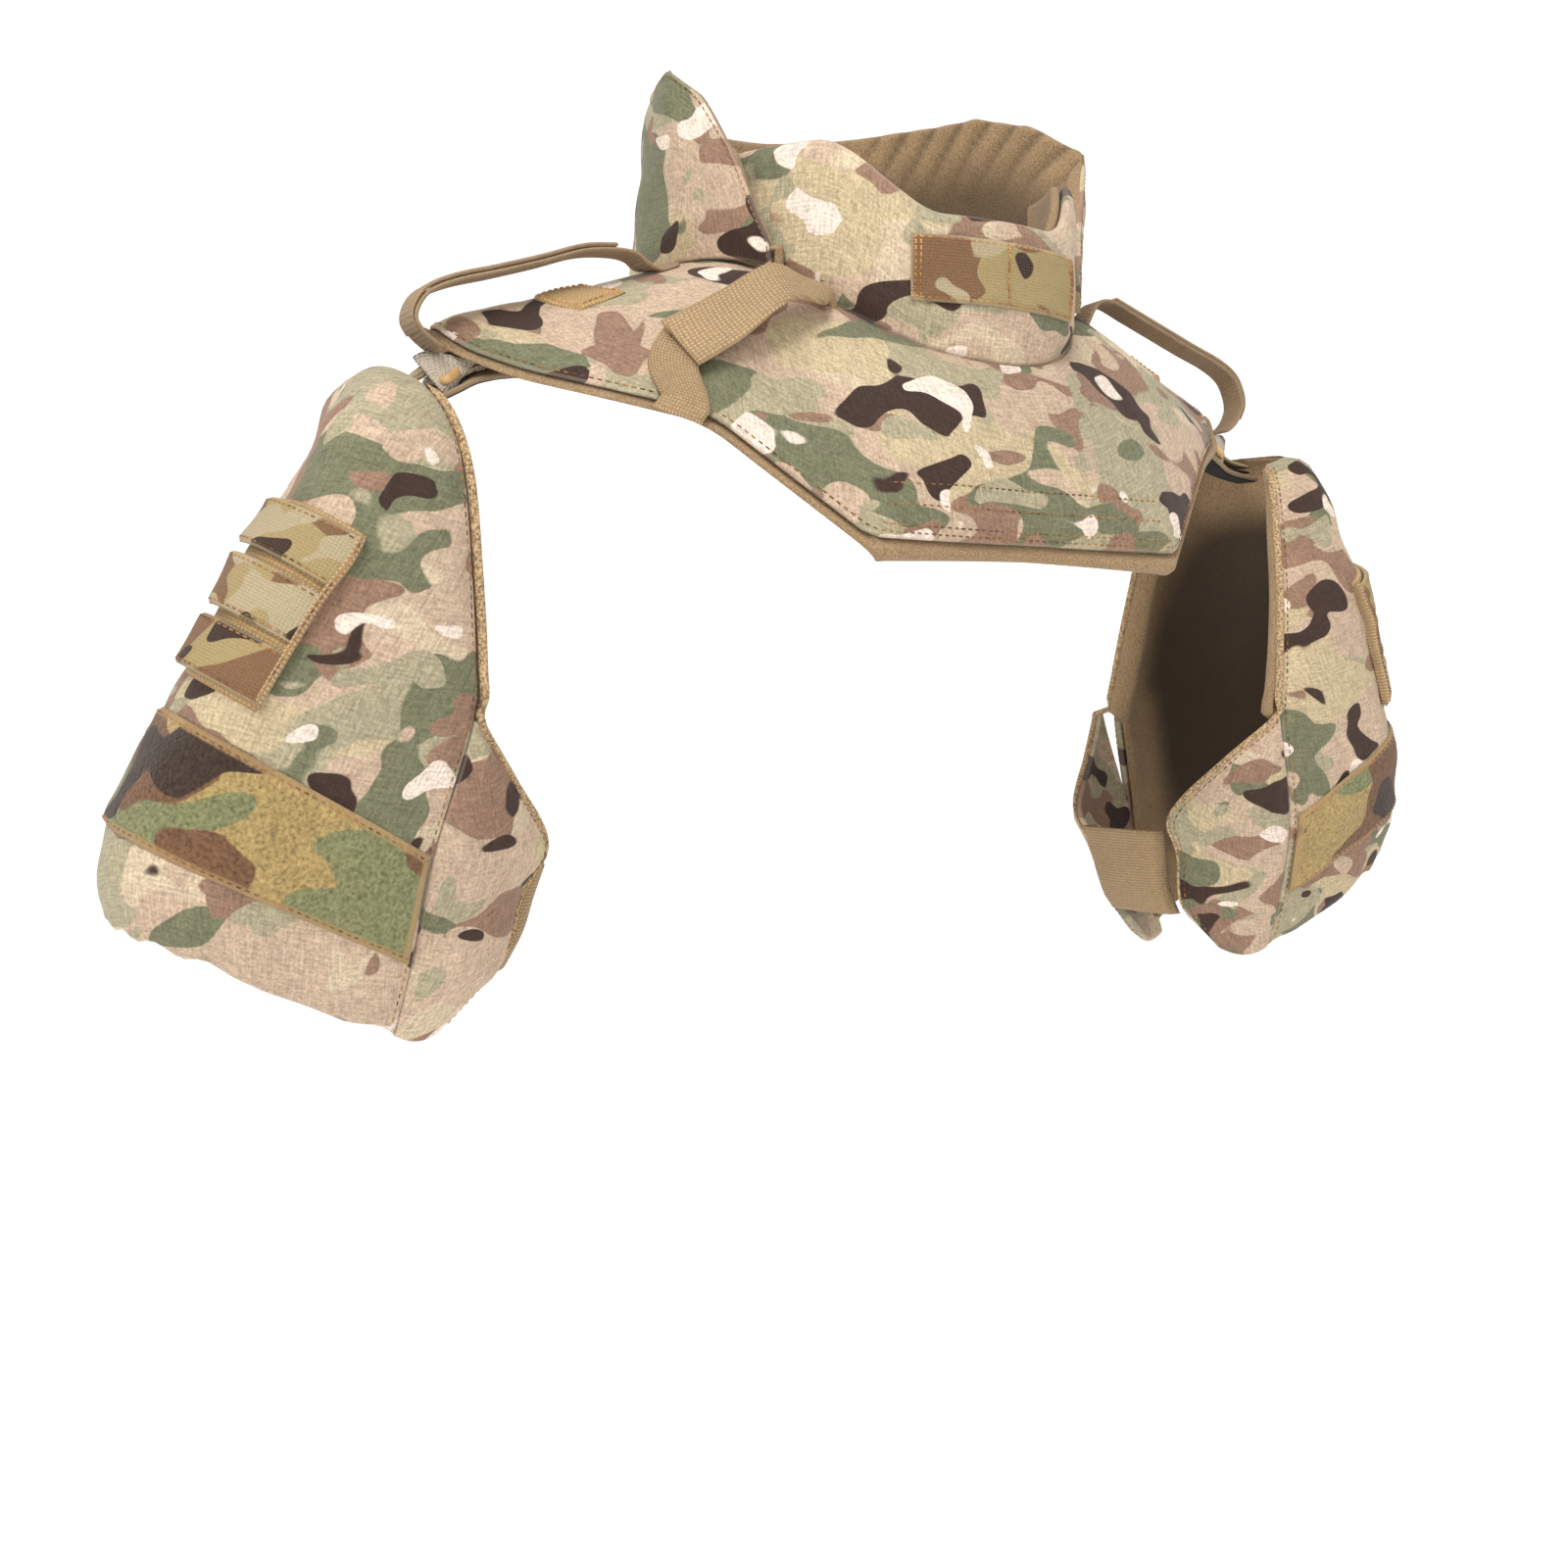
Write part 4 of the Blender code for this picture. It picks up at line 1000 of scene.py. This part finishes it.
def make_materials():
    make_camo_fabric()
    make_camo_webbing()
    make_loop_camo()
    # Reach and share of the painted shade in the linings; the arms' linings get darker painted shade
    # inside.
    make_fleece("tan_fleece", (0.010, 0.042), 0.70)
    make_fleece("arm_fleece", (0.018, 0.044), 0.94)
    make_ribbed("tan_webbing", "webbing", "webbing_dark", 0.0017, 0.0019, 0.70)
    make_ribbed("strap", "strap", "strap_dark", 0.0013, 0.0020, 0.45)
    # Pale cream webbing: a painted highlight on the round of the strap's fold.
    make_ribbed("strap_fold_highlight", "cream", "pale_green", 0.0015, 0.0019, 0.60)
    make_ribbed("elastic", "webbing", "webbing_dark", 0.0014, 0.0016, 0.75)
    make_ribbed("tape", "tape_edge", "webbing_dark", 0.0018, 0.0018, 0.60)
    make_ribbed("black_webbing", "black", "soft_black", 0.0013, 0.0016, 0.60)
    make_plain("piping", "webbing_dark", "webbing", 900.0, 0.30, 0.70, 0.0004, 0.85, 0.1)
    make_plain("thread", "thread_dark", "thread_light", 90.0, 0.35, 0.65, 0.0002, 0.60)
    make_plain("bright_thread", "bright_dark", "bright_light", 90.0, 0.35, 0.65, 0.0002, 0.60)
    make_plain("tan_plastic", "plastic_dark", "plastic", 120.0, 0.30, 0.70, 0.0002, 0.35,
               fine=900.0, strength=0.3)


# ---------------------------------------------------------------- yoke and bib

def thinning(shares, angles):
    """Share of the full thickness: the yoke and the bib's shoulder thin towards the outline."""
    thin = blend(1.0, EDGE_THIN, ramp(EDGE_THIN_FROM, 1.0, shares))[:, None]
    turn = np.array([abs(wrapped(angle)) for angle in angles])[None, :]
    return blend(1.0, thin, ramp(*THIN_TURNS, turn))


def cover_rise(grid, table, side=0, reach=0.011):
    """Height of a cover's face: padded in the middle, drawn in at its edges."""
    gap = nearest(grid)
    puckers = folds(grid.points, PUCKERS, side) * ramp(*PUCKER_REACH, gap)
    soft = folds(grid.points, table, side) + puckers
    return blend(-SEAM_PINCH, PUFF + soft, ramp(0.0, reach, gap))


def build_layers(name, start, end, stitches):
    """Cover and lining of the bib or the yoke. Returns the cover's face and grid."""
    angles = marks(lambda angle: yoke_point(0.9, angle), start, end)
    shares = marks(lambda share: yoke_point(share, 45), 0.0, 1 - LIP)
    grid = sampled(cover_point, shares, angles)
    bottom = -COVER * thinning(shares, angles)
    outer = panel(f"{name}_cover", "camo_fabric", grid, cover_rise(grid, YOKE_FOLDS), bottom,
                  (0.0012, 0.0014, 0.0008, 0.0008), fill=0.6)
    stitches.beside(outer, grid, (BOTTOM,), 0.0024, margin=0.004)
    shares = marks(lambda share: yoke_point(share, 45), LINING_FROM, 1.0)
    lining = sampled(layer_point, shares, angles)
    depth = thinning(shares, angles)
    slim = ramp(*BIB_CORNER, np.array([abs(wrapped(angle)) for angle in angles]))[None, :]
    lip = LIP_WIDTH + BIB_LIP * BIB_LENGTH * (1 - slim)
    below = lining.edges[BOTTOM]
    top = blend(-COVER * depth - LAYER_GAP, blend(-0.0014, -0.0024, slim) * depth,
                ramp(lip - 0.0010, lip - 0.0026, below))
    raised = blend(-0.0014, 0.0042, slim) * ramp(0.016, 0.004, below) * depth
    panel(f"{name}_lining", "tan_fleece", lining, top, raised - (COVER + LINING) * depth - LAYER_GAP,
          (SQUARE, 0.0034, 0.0008, 0.0008), fill=0.6)
    return outer, grid


def build_bib_and_yoke():
    stitches = Stitches()
    outer, grid = build_layers("front_bib", CLOSURE_ANGLE, SHOULDER_SEAM, stitches)
    for distance in BIB_STITCH_ROWS:
        line, facing = inset(outer, grid, BOTTOM, distance)
        chosen = np.abs(line[:, 0]) < BIB_STITCH_HALF - distance * BIB_STITCH_LEAN
        stitches.row(line[chosen], facing[chosen])
    build_layers("yoke", SHOULDER_SEAM, 360 + CLOSURE_ANGLE, stitches)
    stitches.finish("yoke_stitches")


# ---------------------------------------------------------------- collars

def build_front_collar():
    angles = marks(lambda angle: front_collar_point(0.3, angle), *FRONT_COLLAR_ENDS)
    drops = marks(lambda drop: front_collar_point(drop, 0), 0.0, FRONT_COLLAR_TUCK)
    grid = sampled(front_collar_point, drops, angles)
    panel("front_collar_cover", "camo_fabric", grid, cover_rise(grid, COLLAR_FOLDS, reach=0.008),
          -COLLAR_COVER, (0.0036, 0.0010, 0.0015, 0.0015), fill=0.6, cut=(0.31, 0.10, 0.22))
    top = -COLLAR_COVER - LAYER_GAP
    panel("front_collar_lining", "tan_fleece", grid, top, top - LINING,
          (0.0022, SQUARE, 0.001, 0.001), fill=0.6)


def wing_tips(grid):
    """1 at the tips of the rear collar's wings, 0 away from them."""
    tips = [rear_collar_point(0.0, angle) for angle in (WING_TIP, 360 - WING_TIP)]
    gap = np.minimum(*(np.linalg.norm(grid.points - tip, axis=-1) for tip in tips))
    return ramp(*WING_REACH, gap)


def build_rear_collar():
    stitches = Stitches()
    start, end = REAR_COLLAR_END, 360 - REAR_COLLAR_END
    angles, fine_angles = (marks(lambda angle: rear_collar_point(0.3, angle), start, end, step)
                           for step in (STEP, 0.0018))
    drops, fine_drops = (marks(lambda drop: rear_collar_point(drop, 120), top, bottom)
                         for top, bottom in ((0.0, REAR_COLLAR_TUCK), (-0.02, 1.0)))
    grid = sampled(rear_collar_point, drops, angles)
    depth = COVER * (1 - WING_THIN * wing_tips(grid))
    outer = panel("rear_collar_cover", "camo_fabric", grid, cover_rise(grid, COLLAR_FOLDS, reach=0.012),
                  -depth, (0.0014, 0.0010, 0.0014, 0.0014), fill=0.6, cut=(0.7, 0.2, 0.5))
    stitches.beside(outer, grid, (TOP, LEFT, RIGHT), 0.0014, margin=0.003, pitch=0.0030, radius=0.0003)
    past = REAR_RIM * np.array([0.3, 0.6, 1.0])
    angles = np.concatenate([start - past[::-1], fine_angles, end + past])
    lining = sampled(rim_point, fine_drops, angles)
    rim = ramp(0.0036, 0.0022, nearest(lining, (TOP, LEFT, RIGHT)))
    turn = np.array([wrapped(angle) for angle in angles])[None, :]
    quilted = ramp(*QUILT_START, turn) * ramp(*QUILT_END, turn)
    quilted = quilted * ramp(*QUILT_DROP, lining.down)
    swell = np.abs(np.cos(np.pi * lining.across / QUILT_PITCH))
    full = 1 - WING_THIN * wing_tips(lining)
    top = -COVER * full - LAYER_GAP
    bottom = top - LINING * full - QUILT_RIDGE * quilted * swell
    # The pleats between the ridges get painted shade.
    panel("rear_collar_lining", "tan_fleece", lining, blend(top, -0.0015, rim), bottom,
          (0.0022, SQUARE, 0.0022, 0.0022), fill=0.6, pleat_shading=PLEAT_SHADE * quilted * ramp(0.75, 0.0, swell))
    stitches.finish("collar_stitches")


# ---------------------------------------------------------------- patches and straps on the shoulders

def build_collar_patch(stitches):
    heights = np.linspace(*COLLAR_PATCH_HEIGHTS, 17)
    angles = np.linspace(-COLLAR_PATCH_TURN, COLLAR_PATCH_TURN, 49)
    grid = sampled(collar_patch_point, heights, angles)
    outer = patch("collar_patch", "camo_webbing", grid, COLLAR_FOLDS, cut=(0.13, 0.4, 0.35))
    for edge in (LEFT, RIGHT):
        for distance in (0.0018, 0.0040):
            stitches.beside(outer, grid, (edge,), distance, pitch=0.0028, radius=0.00045)
    middle, facing = outer[:, len(angles) // 2], grid.normals[:, len(angles) // 2]
    stitches.row(middle + 0.0002 * facing, facing, 0.0028, 0.0005)
    stitches.beside(outer, grid, (TOP, BOTTOM), 0.0016, pitch=0.0034)


def build_closure():
    table = CLOSURE_TAB_PATH.reshape(-1, 2, 3)
    table = np.concatenate([[table[0] + np.array(TAB_ROOT)], table])
    panel("closure_tab", "tan_webbing", ribbon(table, 13), 0.0, -TAB, 0.0010)
    last = len(ELASTIC_ROWS) - 1
    rows = np.concatenate([np.linspace(0, last, 41), last + np.linspace(0, ELASTIC_WRAP, 13)[1:]])
    grid = sampled(wide_elastic_point, rows, np.linspace(0, 1, 17))
    top = WEBBING_LIFT + WEBBING + folds(grid.points, ELASTIC_FOLDS)
    panel("closure_elastic", "elastic", grid, top, 0.0, 0.0008)


def build_shoulder_patch(side, stitches):
    angles = np.sort(np.linspace(*SHOULDER_PATCH_ANGLES, 25) * side)
    grid = sampled(yoke_point, np.linspace(*SHOULDER_PATCH_SHARES, 25), angles)
    outer = patch(side_name("shoulder_patch", side), "tape", grid, YOKE_FOLDS)
    stitches.beside(outer, grid, ALL_EDGES, 0.0017, margin=0.001, pitch=0.0030, radius=0.0005)


def build_shoulder_loop(side):
    heights = SHOULDER_LOOP_PATH[:, 1 if side > 0 else 2]
    path = np.array([(x, LOOP_MIDDLE, z) for x, z in zip(SHOULDER_LOOP_PATH[:, 0], heights)])
    tilt = radians(LOOP_TILT_LEFT if side > 0 else LOOP_TILT_RIGHT)
    half = np.array([0.0, cos(tilt), -sin(tilt)]) * LOOP_WIDTH / 2
    root = [[on_yoke(x, LOOP_MIDDLE - half[1]), on_yoke(x, LOOP_MIDDLE + half[1])] for x in LOOP_ROOTS]
    table = np.concatenate([root, np.stack([path - half, path + half], axis=1)])
    panel("shoulder_loop", "strap", ribbon(table), 0.0, -WEBBING, 0.0007, side)
    doubled = ribbon(table[LOOP_DOUBLED])
    top = blend(0.0007, 0.0021, ramp(0.0, 0.014, doubled.edges[BOTTOM]))
    panel("loop_fold", "strap", doubled, top, 0.0004, THIN_ROUND, side)


# ---------------------------------------------------------------- arm shells

def build_shell(side, stitches):
    rows = marks(lambda row: arm_point(row, 0), 0, len(ARM_ROWS) - 1)
    turns = marks(lambda turn: arm_point(5, turn), -ARM_TURN, ARM_TURN)
    grid = sampled(hem_point, rows, turns)
    thin = blend(ARM_TOP_THIN, 1.0, ramp(0.0, ARM_FULL_FROM, rows))[:, None]
    waves = folds(grid.points, HEM_FOLDS, side) * ramp(0.030, 0.004, grid.edges[BOTTOM])
    rise = cover_rise(grid, ARM_FOLDS, side) + waves * ramp(0.002, 0.020, nearest(grid, (LEFT, RIGHT)))
    outer = panel("arm_cover", "camo_fabric", grid, rise, -COVER * thin,
                  (0.0015, 0.0030, 0.0016, 0.0016), side, fill=0.6, cut=(0.5 * side, 0.35, 0.62))
    stitches.beside(outer, grid, (LEFT, RIGHT), 0.0028, margin=0.004)
    past = ARM_TURN + 1 - np.array(BINDING_MARKS)
    lining = sampled(arm_lining_point, rows, np.concatenate([-past, turns, past[::-1]]))
    open_edge = (1 - ramp(*BINDING_END, rows))[:, None]
    beside = nearest(lining, (LEFT, RIGHT))
    top = blend(-COVER * thin - LAYER_GAP, -0.0010, ramp(0.0050, 0.0034, beside) * open_edge)
    roll = BINDING_ROLL * ramp(0.019, 0.008, beside) * open_edge
    bottom = -(COVER + LINING) * thin - LAYER_GAP - roll - 0.5 * folds(lining.points, ARM_FOLDS, side)
    places = np.linspace(*CORD_ROWS, 90)
    radius = CORD_RADIUS * ramp(*CORD_IN, places) * ramp(*CORD_OUT, places)
    for stem, turn in (("front_cord", -ARM_TURN - CORD_PAST), ("rear_cord", ARM_TURN + CORD_PAST)):
        tube(stem, "piping", [arm_point(row, turn) for row in places], np.maximum(radius, 0.0003), side)
    panel("arm_lining", "arm_fleece", lining, top, bottom, (0.0015, 0.0015, 0.0046, 0.0046), side,
          fill=0.6)


def build_gussets(side, stitches):
    last = len(GUSSET_ROWS) - 1
    rows = marks(lambda row: gusset_point(row, 0.0), 0, last)
    shares = marks(lambda share: gusset_point(2.5, share), 0.0, 1.0)
    for stem, point, edge in (("front", gusset_point, LEFT), ("rear", rear_gusset_point, RIGHT)):
        grid = sampled(point, rows, shares)
        outer = panel(f"{stem}_gusset", "camo_fabric", grid, cover_rise(grid, ARM_FOLDS, side, 0.010),
                      -COVER, (0.0010, 0.0025, 0.0012, 0.0012), side, fill=0.5, cut=(0.2 * side, 0.7, 0.9))
        stitches.beside(outer, grid, (edge,), 0.0030, margin=0.003)
        way, column = (-1, 0) if edge == LEFT else (1, -1)
        face = grid.points[:, column] - PIPING_DEPTH * grid.normals[:, column]
        line = [arm_point(row, way * (ARM_TURN + 0.5)) for row in PIPING_START]
        line += list(face[rows < PIPING_END * last])
        places = np.linspace(-0.1, PIPING_END * last, len(line))
        radius = blend(PIPING_WIDE, PIPING_NARROW, ramp(*PIPING_NARROWS, places))
        radius *= ramp(PIPING_END * last, PIPING_ENDS_FROM, places)
        tube(f"{stem}_piping", "piping", line, radius, side)


def build_webbing_rows(side, stitches):
    steps = np.linspace(0, 1, 61)
    grid = sampled(patch_point, np.linspace(0, 1, 41), steps)
    patch("row_base", "tape", grid, ARM_FOLDS, side)
    low = WEBBING_LIFT + WEBBING + ROW_LIFT
    for number, (start, end) in enumerate(PATCH_ROWS, start=1):
        grid = sampled(patch_point, np.linspace(start, end, 17), steps)
        bulge = ROW_BULGE * ramp(*ROW_BULGE_SHARES, grid.across / grid.across[:, -1:])
        bulge += folds(grid.points, ARM_FOLDS, side)
        outer = panel(f"webbing_row_{number}", "camo_webbing", grid, low + WEBBING + bulge,
                      low - 0.001 + bulge, THIN_ROUND, side, cut=(0.11 * number, 0.6, 0.27 * number))
        stitches.beside(outer, grid, (TOP, BOTTOM), 0.0018, pitch=0.0034)
    grid = sampled(patch_point, np.linspace(*STRIP_SHARES, 41), np.linspace(*STRIP_STEPS, 9))
    top = low + WEBBING + STRIP_RISE + folds(grid.points, ARM_FOLDS, side)
    outer = panel("row_edge", "tan_webbing", grid, top, 0.0, (0.001, 0.001, 0.0012, 0.0008), side)
    stitches.beside(outer, grid, (LEFT,), 0.0014, pitch=0.0030)


def build_band(side, stitches):
    turns = marks(lambda turn: arm_point(6.5, turn), -BAND_TURN, BAND_TURN)
    grid = sampled(arm_point, np.linspace(*BAND_LEVELS, 25), turns)
    top = PUFF + WEBBING + folds(grid.points, ARM_FOLDS, side) + folds(grid.points, PILE_FOLDS)
    outer = panel("arm_band", "loop_camo", grid, top, 0.0, 0.0008, side, cut=(0.2, 0.3 * side, 0.6))
    stitches.beside(outer, grid, (TOP, BOTTOM), 0.0022)


def build_underarm(side):
    rows = []
    for x, y, z in UNDERARM_ROWS:
        x -= UNDERARM_SHIFT[0] + UNDERARM_SHIFT[1] * ramp(*UNDERARM_SHIFT_HEIGHTS, z)
        front = [(x + out, y + back, z) for out, back in UNDERARM_PLAN]
        rows.append([(px, 2 * ARM_MIDDLE - py, pz) for px, py, pz in front] + front[::-1])
    table = np.array(rows)
    last = table.shape[1] - 1
    turns = (0, last // 2, last // 2 + 1, last)
    steps = np.concatenate([np.linspace(start, end, count)[start > 0:]
                            for start, end, count in zip(turns, turns[1:], (13, 12, 13))])

    def point(row, step):
        line = smooth_rows(table, row)
        low = int(min(step // 1, last - 1))
        return blend(line[low], line[low + 1], step - low)

    grid = sampled(point, np.linspace(0, len(rows) - 1, 21), steps)
    panel("underarm_strap", "elastic", grid, 0.0, -WEBBING, THIN_ROUND, side)


# ---------------------------------------------------------------- what hangs the arms

def build_hanger(side):
    def straps(*rows):
        for stem, table, paint, top, depth in rows:
            panel(stem, paint, ribbon(table), top, top - depth, 0.0004, side)

    straps(("camo_strap", CAMO_STRAP, "camo_webbing", 0.0, WEBBING),
           ("black_strap", BLACK_STRAP, "black_webbing", 0.0, WEBBING),
           ("strap_face", BLACK_STRAP, "strap", STRAP_FACE, STRAP_FACE))
    edge = [smooth_rows(BLACK_STRAP[:, :3], row) for row in np.linspace(0, len(BLACK_STRAP) - 1, 41)]
    tube("strap_edge", "strap", edge, STRAP_EDGE, side)
    # The fold gets pale paint as a painted highlight on its round.
    straps(("strap_fold", STRAP_FOLD, "strap_fold_highlight", 0.0, WEBBING / 2),
           ("buckle_webbing", BUCKLE_WEBBING, "black_webbing", 0.0, WEBBING / 2))
    ends = zip(BUCKLE_PATH, np.roll(BUCKLE_PATH, -1, axis=0))
    line = [blend(here, there, share) for here, there in ends for share in BUCKLE_SHARES]
    tube("buckle", "tan_plastic", line, BUCKLE_ROD, side, True, 12, BUCKLE_FLAT, (0.2, 0, 1))


# ---------------------------------------------------------------- studio

# Profile of the floor and backdrop, a wide bowl: radius, height
BOWL_MIDDLE = (0.0, 0.0, -0.62)
BOWL = ((2.2, -0.62), (2.7, -0.50), (3.1, -0.15), (3.35, 0.5), (3.5, 1.4), (3.5, 3.2))
BOWL_SIDES = 72
BOWL_PAINT = (0.86, 0.86, 0.86, 1)
BOWL_GLOW = 0.27  # keeps the backdrop white
# Columns: name, place, size, power
LIGHTS = (
    ("key", (-1.7, -1.5, 2.1), 1.1, 54),
    ("fill", (-0.6, -2.4, 0.4), 1.6, 2),
    ("top", (-0.4, -0.3, 2.4), 1.4, 27),
)
LIGHTS_TARGET = (0.0, 0.0, -0.1)
WORLD_STRENGTH = 0.08
WHITE = (1, 1, 1, 1)
CAMERA_LENS = (45, 36)  # focal length and sensor width in mm
CAMERA_PLACE = (-0.557, -0.754, -0.156)
CAMERA_DOWN = 2.51  # degrees below level
CAMERA_TURN = -33.91  # degrees round +Z from looking along +Y


def build_floor():
    turns = np.linspace(0, 2 * np.pi, BOWL_SIDES, endpoint=False)
    points = [(r * np.cos(t), r * np.sin(t), z) for r, z in BOWL for t in turns] + [BOWL_MIDDLE]
    faces = ring_quads(len(BOWL), BOWL_SIDES)
    faces += [(len(points) - 1, (j + 1) % BOWL_SIDES, j) for j in range(BOWL_SIDES)]
    tree = new_tree("backdrop")
    put(tree, tree.nodes["Principled BSDF"], {
        "Base Color": BOWL_PAINT, "Roughness": 0.9,
        "Emission Color": WHITE, "Emission Strength": BOWL_GLOW})
    new_mesh("backdrop", points, faces, "backdrop")


def add_light(name, place, size, power):
    data = bpy.data.lights.new(name, "AREA")
    data.shape = "SQUARE"
    data.size = size
    data.energy = power
    light = new_object(name, data)
    light.location = place
    light.rotation_euler = (Vector(LIGHTS_TARGET) - Vector(place)).to_track_quat("-Z", "Y").to_euler()


def build_studio():
    scene = bpy.context.scene
    build_floor()
    for light in LIGHTS:
        add_light(*light)
    world = bpy.data.worlds.new("studio")
    world.use_nodes = True
    tree = world.node_tree
    put(tree, tree.nodes["Background"], {"Color": WHITE, "Strength": WORLD_STRENGTH})
    scene.world = world
    scene.view_settings.view_transform = "Standard"
    data = bpy.data.cameras.new("camera")
    data.lens, data.sensor_width = CAMERA_LENS
    camera = scene.camera = new_object("camera", data)
    camera.location = CAMERA_PLACE
    camera.rotation_euler = (radians(90 - CAMERA_DOWN), 0, radians(CAMERA_TURN))


# ---------------------------------------------------------------- all of it

def main():
    make_materials()
    build_bib_and_yoke()
    build_front_collar()
    build_rear_collar()
    stitches = Stitches()
    build_collar_patch(stitches)
    build_closure()
    for side in (-1, 1):
        build_shoulder_patch(side, stitches)
        build_shoulder_loop(side)
    stitches.finish("patch_stitches", "bright_thread")
    for side in (-1, 1):
        stitches = Stitches(side)
        build_shell(side, stitches)
        build_gussets(side, stitches)
        build_webbing_rows(side, stitches)
        build_band(side, stitches)
        build_underarm(side)
        build_hanger(side)
        stitches.finish("arm_stitches")
    build_studio()


main()
